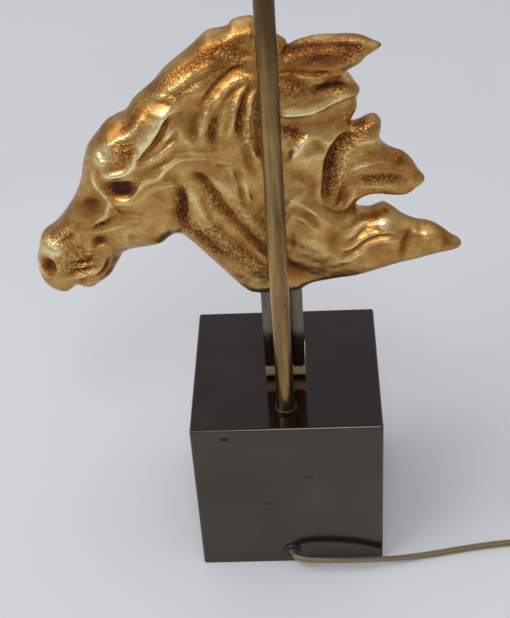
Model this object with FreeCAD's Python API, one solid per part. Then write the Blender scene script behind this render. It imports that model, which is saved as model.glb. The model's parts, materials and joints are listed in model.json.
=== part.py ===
import FreeCAD, Part
import math
import os

# A table lamp: a bronze-finished sheet-metal cube carries a bent strap with a hollow-cast brass horse's
# head, and beside it a brass rod that rises to a lampholder with its bulb.
# Millimetres. +Z is up, +X is to the right of the face with the cord, +Y points away from that face.
# The origin is the middle of the cube's underside, on the surface that the lamp stands on.

V = FreeCAD.Vector
UP = V(0, 0, 1)
RIGHT = V(1, 0, 0)
BACK = V(0, 1, 0)

# Base cube
BASE = 130.0
WALL = 1.5
EDGE_RADIUS = 2.0
SHELL_LIFT = 0.5
FELT = 2.3
PLATE = 2.0
PLATE_TOP = FELT + PLATE
TOP_INSIDE = BASE - WALL
INSIDE = BASE / 2 - WALL
FIT = 0.02

# Rod, its collar and nut
ROD_Y = -43.7
ROD_R = 6.0
ROD_BORE_R = 4.0
SPIGOT_R = 5.0
COLLAR_R = 7.5
COLLAR_HEIGHT = 3.0
ROD_FOOT = 104.0
HOLDER = 452.0
SPIGOT_TOP = 10.0
NUT_HEIGHT = 6.0
NUT_FLATS = 17.0
WASHER = 1.2

# Strap that carries the head
STRAP_WIDTH = 27.5
STRAP = 4.0
STRAP_FRONT = -12.4
STRAP_BEND = 5.0
STRAP_TOP = 260.0
FOOT_END = 26.0
FOOT_SCREW_X = 7.5
FOOT_SCREW_Y = 14.0

# Horse's head
HEAD_Y = STRAP_FRONT + STRAP / 2
HEAD_WALL = 4.0
HEAD_SCREW_Z = (228.0, 246.0)
HEAD_SCREW_SEAT = 4.0

# Flat twin cord
CORD = 5.6
CORD_R = CORD / 2
EXIT_Z = 11.6
GROMMET_R = 6.5
GROMMET_HOLE = 5.5
GROMMET_LIP = 1.6
GROMMET_FACE = -BASE / 2 - GROMMET_LIP
COIL_X = 212.0
COIL_Y = -15.0
COIL_LIFT = 0.7
TURN_IN = 26.5
TURN_OUT = 38.5
COIL_EDGE = 1.7
COIL_HEIGHT = 11.7

# Plug
PLUG_HALF = 6.85
PLUG_X = COIL_X + 40.0
PLUG_REAR = COIL_Y + 44.0
PLUG_GUARD = 16.0
GUARD_R = 4.3
PLUG_LENGTH = 34.0
PLUG_WIDTH = 35.3
PIN_R = 2.0
PIN_LENGTH = 19.0
PIN_SLEEVE = 10.0
SLEEVE_R = 1.75
PIN_CORE_R = 1.4
PIN_SPACING = 18.6
PIN_ROOT = 8.0

# Lampholder and bulb, heights above HOLDER
SKIRT_R = 19.75
SKIRT_FREE_R = 18.95
SKIRT = 1.05
SKIRT_FOOT = 28.5
SKIRT_FREE = 37.2
SKIRT_TOP = 56.0
RING_R = 27.5
RING_HEIGHT = 8.0
SCREW_SHELL_R = 14.3
CORE_R = 17.5
KEY_Z = 22.5
TIP = 35.3


def out(name, *shapes):
    """Writes one node from its solids and prints its volume."""
    solids = [s for shape in shapes for s in shape.Solids]
    shape = solids[0] if len(solids) == 1 else Part.makeCompound(solids)
    if not shape.isValid():
        print("INVALID", name)
    shape.exportStep("parts/" + name + ".step")
    print(f"{name}: {len(solids)} solid(s), {shape.Volume / 1000:.2f} cm3")


def box(x0, x1, y0, y1, z0, z1):
    return Part.makeBox(x1 - x0, y1 - y0, z1 - z0, V(x0, y0, z0))


def rod(r, start, end):
    """A round bar between two points."""
    return Part.makeCylinder(r, (end - start).Length, start, end - start)


def pipe(r_out, r_in, start, end):
    return rod(r_out, start, end).cut(rod(r_in, start, end))


def turned(edges, x, y):
    """A solid of revolution about the upright line through x, y, from edges drawn as (radius, height)."""
    face = Part.Face(Part.Wire(edges))
    solid = face.revolve(V(0, 0, 0), UP, 360)
    solid.translate(V(x, y, 0))
    return Part.makeSolid(solid) if solid.ShapeType == "Shell" else solid


def rz(points):
    """Straight edges through (radius, height) points, closed."""
    loop = [V(r, 0, z) for r, z in points]
    return [Part.LineSegment(a, b).toShape() for a, b in zip(loop, loop[1:] + loop[:1])]


def hexagon(flats, z0, height, x, y):
    corner = flats / 2 / math.cos(math.pi / 6)
    turns = [math.radians(60 * k) for k in range(7)]
    loop = [V(x + corner * math.cos(t), y + corner * math.sin(t), z0) for t in turns]
    return Part.Face(Part.makePolygon(loop)).extrude(V(0, 0, height))


def screw(seat, way, r, length, head_r, head_height):
    """A slotted pan-head screw whose head rests on seat, with its shank along way."""
    head = Part.makeCylinder(head_r, head_height, V(0, 0, -head_height))
    rim = [e for e in head.Edges if e.BoundBox.ZMax < -head_height / 2]
    head = head.makeFillet(head_height * 0.45, rim)
    slot = box(-head_r, head_r, -0.5, 0.5, -head_height, -head_height * 0.45)
    body = head.cut(slot).fuse(Part.makeCylinder(r, length))
    body = body.removeSplitter()
    body.Placement = FreeCAD.Placement(seat, FreeCAD.Rotation(UP, way))
    return body


def cord_path(name, route):
    """Straight runs joined by tangent arcs, each as large as its two runs allow."""
    edges, at, radii = [], route[0], []
    for before, corner, after in zip(route, route[1:], route[2:]):
        a, b = (corner - before), (after - corner)
        turn = a.getAngle(b)
        back = 0.45 * min(a.Length, b.Length)
        start = corner - a.normalize() * back
        end = corner + b.normalize() * back
        middle = corner + (b - a).normalize() * back * math.tan(turn / 4)
        radii.append(back / math.tan(turn / 2))
        edges += [Part.LineSegment(at, start).toShape(), Part.Arc(start, middle, end).toShape()]
        at = end
    edges.append(Part.LineSegment(at, route[-1]).toShape())
    wire = Part.Wire(edges)
    print(f"{name}: {wire.Length:.1f} mm, radii", [round(r, 1) for r in radii])
    return wire


def cord_tube(name, route, r):
    """A round cord along a route; its volume is checked against its section times its length."""
    wire = cord_path(name, route)
    start = wire.OrderedVertexes[0].Point
    ring = Part.Wire(Part.makeCircle(r, start, route[1] - route[0]))
    tube = wire.makePipeShell([ring], True, False)
    print(f"{name}: volume ratio {tube.Volume / (math.pi * r * r * wire.Length):.4f}")
    return tube


def base_shell():
    """Top and four walls folded from one sheet, open below."""
    half = BASE / 2
    outer = box(-half, half, -half, half, SHELL_LIFT, BASE)
    soft = [
        e
        for e in outer.Edges
        if e.BoundBox.ZLength > WALL or e.BoundBox.ZMin > BASE - WALL
    ]
    outer = outer.makeFillet(EDGE_RADIUS, soft)
    shell = outer.cut(box(-INSIDE, INSIDE, -INSIDE, INSIDE, SHELL_LIFT, TOP_INSIDE))
    shell = shell.cut(rod(SPIGOT_R + 0.1, V(0, ROD_Y, TOP_INSIDE), V(0, ROD_Y, BASE)))
    shell = shell.cut(rod(GROMMET_HOLE, V(0, -half, EXIT_Z), V(0, -INSIDE, EXIT_Z)))
    for side in (-1, 1):
        x = side * FOOT_SCREW_X
        shell = shell.cut(rod(2.65, V(x, FOOT_SCREW_Y, TOP_INSIDE), V(x, FOOT_SCREW_Y, BASE)))
    return shell


def base():
    """The cube with what closes, weights and fixes it."""
    out("base_shell", base_shell())
    corner, block = INSIDE - 6.0, 5.5
    corners = [(sx * corner, sy * corner) for sx in (-1, 1) for sy in (-1, 1)]
    edge = INSIDE - 0.5
    felt = box(-edge, edge, -edge, edge, 0, FELT)
    plate = box(-edge, edge, -edge, edge, FELT, PLATE_TOP)
    blocks, screws = [], []
    for x, y in corners:
        felt = felt.cut(rod(4.6, V(x, y, 0), V(x, y, FELT)))
        plate = plate.cut(rod(2.2, V(x, y, FELT), V(x, y, PLATE_TOP)))
        cube = box(x - block, x + block, y - block, y + block, PLATE_TOP, PLATE_TOP + 9)
        blocks.append(cube.cut(rod(2 + FIT, V(x, y, PLATE_TOP), V(x, y, PLATE_TOP + 9))))
        screws.append(screw(V(x, y, FELT), UP, 2.0, 9.0, 3.9, 1.8))
    weight = box(-46, 46, -22, 58, PLATE_TOP, PLATE_TOP + 40)
    weight = weight.makeFillet(3, [e for e in weight.Edges if e.BoundBox.ZLength > 1])
    bolts = []
    for x in (-30, 30):
        felt = felt.cut(rod(6.2, V(x, 18, 0), V(x, 18, FELT)))
        plate = plate.cut(rod(3.2, V(x, 18, FELT), V(x, 18, PLATE_TOP)))
        weight = weight.cut(rod(3 + FIT, V(x, 18, PLATE_TOP), V(x, 18, PLATE_TOP + 20)))
        bolts.append(screw(V(x, 18, FELT), UP, 3.0, 18.0, 5.6, 1.9))
    out("base_felt_pad", felt)
    out("base_bottom_plate", plate)
    out("base_corner_blocks", *blocks)
    out("base_plate_screws", *screws)
    out("base_ballast", weight)
    out("base_ballast_bolts", *bolts)


def main_rod():
    """The brass tube with its collar above the cube's top and its washer and nut below it."""
    shoulder = BASE + COLLAR_HEIGHT
    tube = rod(ROD_R, V(0, ROD_Y, shoulder), V(0, ROD_Y, HOLDER))
    tube = tube.fuse(rod(SPIGOT_R, V(0, ROD_Y, ROD_FOOT), V(0, ROD_Y, HOLDER + SPIGOT_TOP)))
    tube = tube.cut(rod(ROD_BORE_R, V(0, ROD_Y, ROD_FOOT), V(0, ROD_Y, HOLDER + SPIGOT_TOP)))
    out("rod", tube)
    collar = pipe(COLLAR_R, SPIGOT_R + FIT, V(0, ROD_Y, BASE), V(0, ROD_Y, shoulder))
    top_edges = [e for e in collar.Edges if e.BoundBox.ZMin > shoulder - 0.1]
    brim = [e for e in top_edges if e.BoundBox.XMax > COLLAR_R - 0.1]
    out("rod_collar", collar.makeFillet(0.8, brim))
    top = TOP_INSIDE - WASHER
    out("rod_washer", pipe(10.0, SPIGOT_R + FIT, V(0, ROD_Y, top), V(0, ROD_Y, TOP_INSIDE)))
    nut = hexagon(NUT_FLATS, top - NUT_HEIGHT, NUT_HEIGHT, 0, ROD_Y)
    out("rod_nut", nut.cut(rod(SPIGOT_R + FIT, V(0, ROD_Y, top - NUT_HEIGHT), V(0, ROD_Y, top))))


def strap():
    """The bent strap, its foot's screws, washers and nuts."""
    back, bend_y, bend_z = STRAP_FRONT + STRAP, STRAP_FRONT + STRAP_BEND, BASE + STRAP_BEND
    inner = STRAP_BEND - STRAP

    def p(y, z):
        return V(-STRAP_WIDTH / 2, y, z)

    def bend(r):
        slant = r * math.sqrt(0.5)
        return Part.Arc(p(bend_y - r, bend_z), p(bend_y - slant, bend_z - slant), p(bend_y, bend_z - r))

    corners = [p(bend_y, BASE), p(FOOT_END, BASE), p(FOOT_END, BASE + STRAP), p(bend_y, BASE + STRAP)]
    edges = [
        Part.LineSegment(p(STRAP_FRONT, STRAP_TOP), p(STRAP_FRONT, bend_z)),
        bend(STRAP_BEND),
        *[Part.LineSegment(a, b) for a, b in zip(corners, corners[1:])],
        bend(inner),
        Part.LineSegment(p(back, bend_z), p(back, STRAP_TOP)),
        Part.LineSegment(p(back, STRAP_TOP), p(STRAP_FRONT, STRAP_TOP)),
    ]
    wire = Part.Wire(Part.__sortEdges__([e.toShape() for e in edges]))
    solid = Part.Face(wire).extrude(V(STRAP_WIDTH, 0, 0))
    heel = [e for e in solid.Edges if e.BoundBox.YMin > FOOT_END - 0.1 and e.BoundBox.ZLength > 1]
    solid = solid.makeFillet(4, heel)
    screws, washers, nuts = [], [], []
    seat, under = BASE + STRAP, TOP_INSIDE - 1
    for side in (-1, 1):
        x, y = side * FOOT_SCREW_X, FOOT_SCREW_Y
        solid = solid.cut(rod(2.6, V(x, y, BASE), V(x, y, seat)))
        screws.append(screw(V(x, y, seat), -UP, 2.5, 14, 4.6, 2.8))
        washers.append(pipe(5.0, 2.5 + FIT, V(x, y, under), V(x, y, TOP_INSIDE)))
        nut = hexagon(8.0, under - 4, 4, x, y)
        nuts.append(nut.cut(rod(2.5 + FIT, V(x, y, under - 4), V(x, y, under))))
    for z in HEAD_SCREW_Z:
        solid = solid.cut(rod(2.15, V(0, STRAP_FRONT, z), V(0, back, z)))
    out("strap", solid)
    out("strap_foot_screws", *screws)
    out("strap_foot_washers", *washers)
    out("strap_foot_nuts", *nuts)


def oval(x, z, lean, half_width, half_depth):
    """A closed oval section round x, z. lean is the way of the limb, in degrees from +X towards +Z."""
    across = V(-math.sin(math.radians(lean)), 0, math.cos(math.radians(lean)))
    turns = [math.radians(45 * k) for k in range(8)]
    points = [
        V(x, HEAD_Y, z) + across * half_width * math.cos(t) + BACK * half_depth * math.sin(t) for t in turns
    ]
    curve = Part.BSplineCurve()
    curve.interpolate(points, True)
    return Part.Wire(curve.toShape())


def limb(sections, inset=0.0):
    """A ruled loft through oval sections (x, z, lean, half width, half depth), shrunk by inset."""
    rings = [oval(x, z, lean, w - inset, d - inset) for x, z, lean, w, d in sections]
    return Part.makeLoft(rings, True, True)


FACE = [
    (-152, 226, 60, 7, 8),
    (-145, 233, 56, 14, 15),
    (-138, 238, 53, 20, 18),
    (-122, 253, 50, 23, 17),
    (-107, 268, 47, 27, 20),
    (-89, 281, 42, 36, 25),
    (-70, 299, 44, 40, 24),
    (-48, 326, 48, 36, 22),
]
NECK = [
    (-2, 206, 90, 13, 12),
    (2, 214, 92, 27, 16),
    (0, 232, 93, 42, 20),
    (-4, 258, 94, 51, 23),
    (-12, 290, 97, 46, 24),
    (-20, 325, 99, 48, 22),
    (-26, 358, 98, 42, 19),
    (-24, 385, 85, 26, 14),
    (-15, 400, 80, 9, 7),
]
FOREHEAD = [
    (-117, 303, 62, 4, 8),
    (-106, 319, 55, 14, 15),
    (-86, 335, 48, 17, 18),
    (-60, 358, 46, 16, 17),
    (-35, 380, 42, 14, 13),
]
LOCKS = {
    "top": [(-14, 372, 10, 15, 10), (20, 377, 6, 11, 8), (44, 380, 4, 8.5, 6), (64, 381, 0, 1.5, 1.5)],
    "second": [(0, 350, 5, 16, 12), (28, 352, 2, 13, 9), (44, 354, -5, 9, 6), (51, 352, -10, 3, 2.5)],
    "third": [(10, 325, 0, 16, 13), (40, 324, 8, 11, 9), (56, 328, 25, 7, 6), (62, 333, 40, 2.5, 2.5)],
    "fourth": [(10, 300, 0, 20, 14), (48, 300, -8, 20, 11), (72, 294, -25, 14, 8), (90, 288, -30, 2, 2)],
    "last": [
        (5, 240, 0, 24, 15),
        (45, 247, 5, 26, 13),
        (78, 246, -8, 16, 9),
        (102, 243, -12, 9, 6),
        (116, 240, -10, 2.5, 2.5),
    ],
}


def horse_head():
    """One hollow casting: face, forehead, neck and five locks of mane, with a socket for the strap."""
    solid = limb(NECK)
    for part in [FACE, FOREHEAD, *LOCKS.values()]:
        solid = solid.fuse(limb(part))
    solid = solid.cut(limb(NECK[2:-1], HEAD_WALL)).cut(limb(FACE[2:], HEAD_WALL))
    gap = 0.2
    side = STRAP_WIDTH / 2 + gap
    low, high = NECK[1][1] - 4, STRAP_TOP + 3
    boss = box(-side - 3, side + 3, HEAD_Y - 9, HEAD_SCREW_SEAT, low, high)
    solid = solid.fuse(boss.common(limb(NECK, 1.0)))
    slot = box(-side, side, STRAP_FRONT - gap, STRAP_FRONT + STRAP + gap, 200, high + 4)
    solid = solid.cut(slot)
    screws = []
    for z in HEAD_SCREW_Z:
        seat = V(0, HEAD_SCREW_SEAT, z)
        solid = solid.cut(rod(4.2, seat, seat + BACK * 30))
        solid = solid.cut(rod(2 + FIT, seat, V(0, HEAD_Y - 8, z)))
        screws.append(screw(seat, -BACK, 2.0, HEAD_SCREW_SEAT - HEAD_Y + 7.5, 3.8, 2.4))
    out("horse_head", max(solid.Solids, key=lambda s: s.Volume))
    out("horse_head_screws", *screws)


def cord_entry():
    """The grommet in the wall and the clamp that holds the cord inside the cube."""
    wall, inner = -BASE / 2, -INSIDE
    grommet = rod(GROMMET_R, V(0, GROMMET_FACE, EXIT_Z), V(0, wall, EXIT_Z))
    grommet = grommet.fuse(rod(GROMMET_HOLE - FIT, V(0, wall, EXIT_Z), V(0, inner, EXIT_Z)))
    grommet = grommet.fuse(rod(GROMMET_R, V(0, inner, EXIT_Z), V(0, inner + GROMMET_LIP, EXIT_Z)))
    bore = rod(CORD_R + 0.6, V(0, GROMMET_FACE, EXIT_Z), V(0, inner + GROMMET_LIP, EXIT_Z))
    rim = [e for e in grommet.Edges if e.BoundBox.YMax < GROMMET_FACE + 0.1]
    out("cord_grommet", grommet.makeFillet(1.0, rim).cut(bore))
    y0, y1, reach = -58.0, -50.0, 9.0
    saddle = box(-reach, reach, y0, y1, PLATE_TOP, EXIT_Z - CORD_R)
    bar = box(-reach, reach, y0, y1, EXIT_Z + CORD_R, EXIT_Z + CORD_R + 2.5)
    screws = []
    for x in (-6, 6):
        foot, seat = V(x, -54, PLATE_TOP), V(x, -54, EXIT_Z + CORD_R + 2.5)
        saddle = saddle.cut(rod(1.5 + FIT, foot, seat))
        bar = bar.cut(rod(1.5 + FIT, foot, seat))
        screws.append(screw(seat, -UP, 1.5, seat.z - PLATE_TOP - 0.5, 2.8, 1.8))
    out("cord_clamp_saddle", saddle)
    out("cord_clamp_bar", bar)
    out("cord_clamp_screws", *screws)


CORD_ROUTE = [
    V(0, GROMMET_FACE, EXIT_Z),
    V(1.2, -72.0, 11.5),
    V(8, -75.8, 11.3),
    V(23, -77.2, 10.8),
    V(48, -75.6, 9.4),
    V(76, -69.5, 5.2),
    V(104, -63.4, 2.9),
    V(134, -57.6, 2.9),
    V(164, -54.0, 2.9),
    V(194, COIL_Y - TURN_OUT, 3.4),
]
TAIL_ROUTE = [
    V(COIL_X + TURN_OUT, COIL_Y + 2, 9.2),
    V(COIL_X + TURN_OUT + 0.2, COIL_Y + 12, 8.7),
    V(PLUG_X, COIL_Y + 24, PLUG_HALF),
    V(PLUG_X, PLUG_REAR, PLUG_HALF),
]
INNER_ROUTE = [
    V(0, GROMMET_FACE, EXIT_Z),
    V(0, -38, EXIT_Z),
    V(0, -31, 40),
    V(0, ROD_Y, 84),
    V(0, ROD_Y, HOLDER + SPIGOT_TOP),
]


def cord():
    """The mains cord inside the lamp, on the table, coiled, and up to its plug."""
    out("cord_inside", cord_tube("cord_inside", INNER_ROUTE, CORD_R))
    out("cord", cord_tube("cord", CORD_ROUTE, CORD_R))
    out("cord_to_plug", cord_tube("cord_to_plug", TAIL_ROUTE, CORD_R))
    centre, top = V(COIL_X, COIL_Y, COIL_LIFT), V(COIL_X, COIL_Y, COIL_LIFT + COIL_HEIGHT)
    coil = pipe(TURN_OUT + COIL_EDGE, TURN_IN - COIL_EDGE, centre, top)
    rims = [e for e in coil.Edges if e.Length > 2 * TURN_OUT]
    out("cord_coil", coil.makeFillet(1.5, rims))
    inner, outer = TURN_IN - COIL_EDGE, TURN_OUT + COIL_EDGE
    tie_top = COIL_LIFT + COIL_HEIGHT
    loop = box(-4, 4, inner - 0.6, outer + 0.6, COIL_LIFT - 0.6, tie_top + 0.6)
    loop = loop.cut(box(-4, 4, inner - 0.05, outer + 0.05, COIL_LIFT - 0.05, tie_top + 0.05))
    loop.translate(V(COIL_X, COIL_Y, 0))
    out("coil_tie", loop)


def rounded(width, height, y, corner):
    """A rounded rectangle across the plug at distance y."""
    x, z = width / 2, height / 2
    arcs = []
    for quarter, (sx, sz) in enumerate([(1, 1), (-1, 1), (-1, -1), (1, -1)]):
        cx, cz = PLUG_X + sx * (x - corner), PLUG_HALF + sz * (z - corner)
        turns = [math.radians(90 * quarter + k * 45) for k in range(3)]
        arcs.append([V(cx + corner * math.cos(t), y, cz + corner * math.sin(t)) for t in turns])
    edges = []
    for a, b in zip(arcs, arcs[1:] + arcs[:1]):
        edges += [Part.Arc(*a).toShape(), Part.LineSegment(a[2], b[0]).toShape()]
    return Part.Wire(edges)


def plug():
    """A flat two-pin plug lying on the table."""
    front = PLUG_REAR + PLUG_LENGTH
    sections = [(14, 9, 0, 3), (20, 11, 7, 3.5), (33, 13.2, 19, 4), (PLUG_WIDTH, 13.7, PLUG_LENGTH, 4)]
    body = Part.makeLoft([rounded(w, h, PLUG_REAR + y, c) for w, h, y, c in sections], True)
    sleeves, pins = [], []
    for side in (-1, 1):
        foot = V(PLUG_X + side * PIN_SPACING / 2, front, PLUG_HALF)
        neck, tip = foot + BACK * PIN_SLEEVE, foot + BACK * PIN_LENGTH
        sleeves.append(pipe(SLEEVE_R, PIN_CORE_R, foot, neck))
        pin = rod(PIN_R, neck, tip)
        pin = pin.makeFillet(1.2, [e for e in pin.Edges if e.BoundBox.YMin > tip.y - 0.1])
        root = foot - BACK * PIN_ROOT
        pins.append(pin.fuse(rod(PIN_CORE_R, root, neck)).removeSplitter())
        body = body.cut(rod(PIN_CORE_R, root, foot))
    start, end = V(PLUG_X, PLUG_REAR - PLUG_GUARD, PLUG_HALF), V(PLUG_X, PLUG_REAR, PLUG_HALF)
    guard = Part.makeCone(CORD_R + 0.8, GUARD_R, PLUG_GUARD, start, BACK)
    for k in range(4):
        at = start + BACK * (3 + 3.2 * k)
        guard = guard.cut(pipe(GUARD_R + 2, CORD_R + 0.6 + 0.22 * k, at, at + BACK * 1.3))
    guard = guard.cut(rod(CORD_R + 0.05, start, end))
    out("plug_body", body)
    out("plug_pins", *pins)
    out("plug_pin_sleeves", *sleeves)
    out("plug_cord_guard", guard)


def lampholder():
    """The brass lampholder: cap, skirt, ceramic core, screw shell, contacts and switch."""
    z, x, y = HOLDER, 0, ROD_Y
    slant = math.sqrt(0.5)
    r_cap, r_boss, dome = 19.5, 8.0, 11.5

    def dome_edges(shift):
        """The cap's outer line, or its inner one when shifted in by the sheet's thickness."""
        centre_r, centre_z = r_boss, z + 6 + dome
        r = dome - shift
        low, high = V(centre_r, 0, centre_z - r), V(centre_r + r, 0, centre_z)
        middle = V(centre_r + r * slant, 0, centre_z - r * slant)
        return low, middle, high

    sheet = 1.1
    low, middle, high = dome_edges(0)
    low2, middle2, high2 = dome_edges(sheet)
    bore = SPIGOT_R + FIT
    loop = [V(bore, 0, z), V(r_boss, 0, z), low]
    rim = [high, V(r_cap, 0, z + 26), V(r_cap - sheet, 0, z + 26), high2]
    inner = [low2, V(bore, 0, low2.z), V(bore, 0, z)]
    edges = [Part.LineSegment(a, b).toShape() for a, b in zip(loop, loop[1:])]
    edges += [Part.Arc(low, middle, high).toShape()]
    edges += [Part.LineSegment(a, b).toShape() for a, b in zip(rim, rim[1:])]
    edges += [Part.Arc(high2, middle2, low2).toShape()]
    edges += [Part.LineSegment(a, b).toShape() for a, b in zip(inner, inner[1:])]
    cap = turned(edges, x, y)
    key = V(0, y, z + KEY_Z)
    cap = cap.cut(rod(3.2 + FIT, key + RIGHT * 10, key + RIGHT * 25))
    out("lampholder_cap", cap)

    skirt = rz(
        [
            (CORE_R + 0.3, z + 26),
            (22.5, z + 26),
            (22.5, z + SKIRT_FOOT),
            (SKIRT_R, z + SKIRT_FOOT),
            (SKIRT_R, z + SKIRT_FREE),
            (SKIRT_FREE_R, z + SKIRT_FREE),
            (SKIRT_FREE_R, z + SKIRT_TOP),
            (SKIRT_FREE_R - SKIRT, z + SKIRT_TOP),
            (SKIRT_FREE_R - SKIRT, z + SKIRT_FOOT - 1),
            (CORE_R + 0.3, z + SKIRT_FOOT - 1),
        ]
    )
    out("lampholder_skirt", turned(skirt, x, y))

    core = rz(
        [
            (0, z + 17),
            (CORE_R, z + 17),
            (CORE_R, z + 54),
            (SCREW_SHELL_R + FIT, z + 54),
            (SCREW_SHELL_R + FIT, z + 32),
            (0, z + 32),
        ]
    )
    core = turned(core, x, y).cut(rod(2.8, key + RIGHT * 7, key + RIGHT * 20))
    terminals = []
    for side in (-1, 1):
        seat = V(0, y + side * 9, z + 17)
        core = core.cut(rod(1.5 + FIT, seat, seat + UP * 8))
        terminals.append(screw(seat, UP, 1.5, 7.5, 2.9, 2.0))
    out("lampholder_ceramic_core", core)
    out("lampholder_terminal_screws", *terminals)
    shell_foot, shell_top = V(0, y, z + 33), V(0, y, z + 53.5)
    out("lampholder_screw_shell", pipe(SCREW_SHELL_R, SCREW_SHELL_R - 0.85, shell_foot, shell_top))
    contact = rod(4.5, V(0, y, z + 32), V(0, y, z + 33.5))
    contact = contact.fuse(rod(2.5, V(0, y, z + 33.5), V(0, y, z + 35)))
    out("lampholder_centre_contact", contact.removeSplitter())

    wires = []
    for side in (-1, 1):
        route = [(1.45, 10.15), (1.6, 12.4), (6.4, 13.6)]
        points = [V(0, y + side * a, z + h) for a, h in route]
        wires.append(cord_tube("core_wire", points, 1.0))
    out("lampholder_core_wires", *wires)

    out("switch_bushing", pipe(3.2, 2.05, key + RIGHT * 18, key + RIGHT * 25))
    out("switch_spindle", rod(2.0, key + RIGHT * 8, key + RIGHT * 32))
    paddle = Part.makeCylinder(8, 3.4, V(0, -1.7, 0), BACK).common(box(-5.5, 5.5, -2, 2, -8, 8))
    paddle.translate(key + RIGHT * 34.5)
    hub = rod(3.4, key + RIGHT * 26, key + RIGHT * 33)
    key_solid = hub.fuse(paddle).cut(rod(2.0 + FIT, key + RIGHT * 26, key + RIGHT * 32))
    out("switch_key", key_solid.removeSplitter())

    ring_foot = z + SKIRT_FOOT + 0.3
    ring = pipe(RING_R, SKIRT_R + 0.05, V(0, y, ring_foot), V(0, y, ring_foot + RING_HEIGHT))
    ring = ring.makeChamfer(0.8, [e for e in ring.Edges if e.Length > 2 * math.pi * (RING_R - 1)])
    notches = 24
    for k in range(notches):
        turn = 2 * math.pi * k / notches
        at = V((RING_R + 0.8) * math.cos(turn), y + (RING_R + 0.8) * math.sin(turn), ring_foot)
        ring = ring.cut(rod(1.8, at, at + UP * RING_HEIGHT))
    out("shade_ring", ring)


def bulb():
    """A clear pear-shaped screw-cap bulb."""
    z, x, y = HOLDER, 0, ROD_Y
    cap_r, sheet = 13.2, 0.4
    cap = rz(
        [
            (8.6, z + 40),
            (cap_r, z + 41.5),
            (cap_r, z + 55),
            (14.1, z + 57),
            (14.1, z + 62.3),
            (14.1 - sheet, z + 62.3),
            (14.1 - sheet, z + 57.2),
            (cap_r - sheet, z + 55.2),
            (cap_r - sheet, z + 41.8),
            (8.6, z + 40.6),
        ]
    )
    out("bulb_cap", turned(cap, x, y))
    glass_cone = rz([(0, z + TIP + 1.2), (4.6, z + TIP + 1.2), (8.5, z + 39.4), (8.5, z + 42), (0, z + 42)])
    out("bulb_insulator", turned(glass_cone, x, y))
    tip = rz([(0, z + TIP), (3.2, z + TIP), (4.6, z + TIP + 0.5), (4.6, z + TIP + 1.2), (0, z + TIP + 1.2)])
    out("bulb_tip", turned(tip, x, y))

    outline = [(12.7, 57), (13.2, 66), (17.5, 78), (25.6, 92), (29.9, 109), (26.2, 125), (15.5, 136.4)]

    def pear(shift):
        """The glass's line from neck to crown, shrunk by shift."""
        points = [V(r - shift, 0, z + h - (shift if h > 109 else 0)) for r, h in outline]
        curve = Part.BSplineCurve()
        curve.interpolate(points + [V(0, 0, z + 140 - shift)])
        return curve.toShape(), points[0]

    glass = 0.9
    (outer, foot), (inside, foot2) = pear(0), pear(glass)
    crown = Part.LineSegment(V(0, 0, z + 140), V(0, 0, z + 140 - glass)).toShape()
    neck = Part.LineSegment(foot2, foot).toShape()
    out("bulb_glass", turned(Part.__sortEdges__([outer, crown, inside, neck]), x, y))
    stem = [(0, 57), (11.6, 57), (11.6, 58), (4, 66), (2.4, 72), (2.4, 92), (0, 92)]
    out("bulb_stem", turned(rz([(r, z + h) for r, h in stem]), x, y))

    wires = []
    for side in (-1, 1):
        points = [V(side * a, y, z + h) for a, h in ((1.4, 92.0), (2.2, 97.0), (11.0, 107.0))]
        wires.append(cord_tube("bulb_wire", points, 0.35))
    out("bulb_wires", *wires)
    arc = Part.Arc(V(-10.8, y, z + 107.4), V(0, y, z + 111), V(10.8, y, z + 107.4)).toShape()
    ring = Part.Wire(Part.makeCircle(0.5, arc.Vertexes[0].Point, arc.tangentAt(arc.FirstParameter)))
    out("bulb_filament", Part.Wire(arc).makePipeShell([ring], True, False))


os.makedirs("parts", exist_ok=True)
base()
main_rod()
strap()
horse_head()
cord_entry()
cord()
plug()
lampholder()
bulb()
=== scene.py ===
import json
import math

import bpy
import numpy as np
from mathutils import Matrix, Vector


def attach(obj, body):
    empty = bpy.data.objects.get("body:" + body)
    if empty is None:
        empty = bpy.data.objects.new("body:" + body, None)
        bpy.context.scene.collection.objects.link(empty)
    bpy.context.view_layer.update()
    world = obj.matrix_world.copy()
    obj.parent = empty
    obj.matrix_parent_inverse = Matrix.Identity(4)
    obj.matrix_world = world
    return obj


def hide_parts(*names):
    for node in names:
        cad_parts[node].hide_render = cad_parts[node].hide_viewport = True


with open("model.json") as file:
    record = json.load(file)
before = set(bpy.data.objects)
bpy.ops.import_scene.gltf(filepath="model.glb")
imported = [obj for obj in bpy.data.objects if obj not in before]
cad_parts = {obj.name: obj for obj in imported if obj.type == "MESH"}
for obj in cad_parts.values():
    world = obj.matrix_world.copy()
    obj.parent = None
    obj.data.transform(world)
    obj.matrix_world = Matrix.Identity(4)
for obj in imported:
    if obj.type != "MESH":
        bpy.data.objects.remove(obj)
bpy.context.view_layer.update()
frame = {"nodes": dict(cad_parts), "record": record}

# A table lamp with a cast brass horse's head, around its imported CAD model.
# Blender works in metres. The casting is drawn in millimetres and scaled at the end.
# +X is to the right of the side with the cord, +Y points away from that side, +Z is up.

MM = 0.001
NODES = frame["nodes"]


# ---------------------------------------------------------------- camera, light and floor

CAMERA_AT = (0.0241, -0.6874, 0.7064)
CAMERA_YAW = math.radians(-3.59)
CAMERA_PITCH = math.radians(37.28)
CAMERA_ROLL = math.radians(-4.04)
CAMERA_LENS = 73.88
SENSOR_WIDTH = 36
# The room's grey at heights from 0, straight down, to 1, straight up
ROOM_GREYS = [(0.0, 0.46), (0.46, 0.32), (0.60, 0.45), (0.80, 0.68), (1.0, 0.92)]
ROOM_STRENGTH = 0.85
FLOOR_REACH = 4.0


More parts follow.
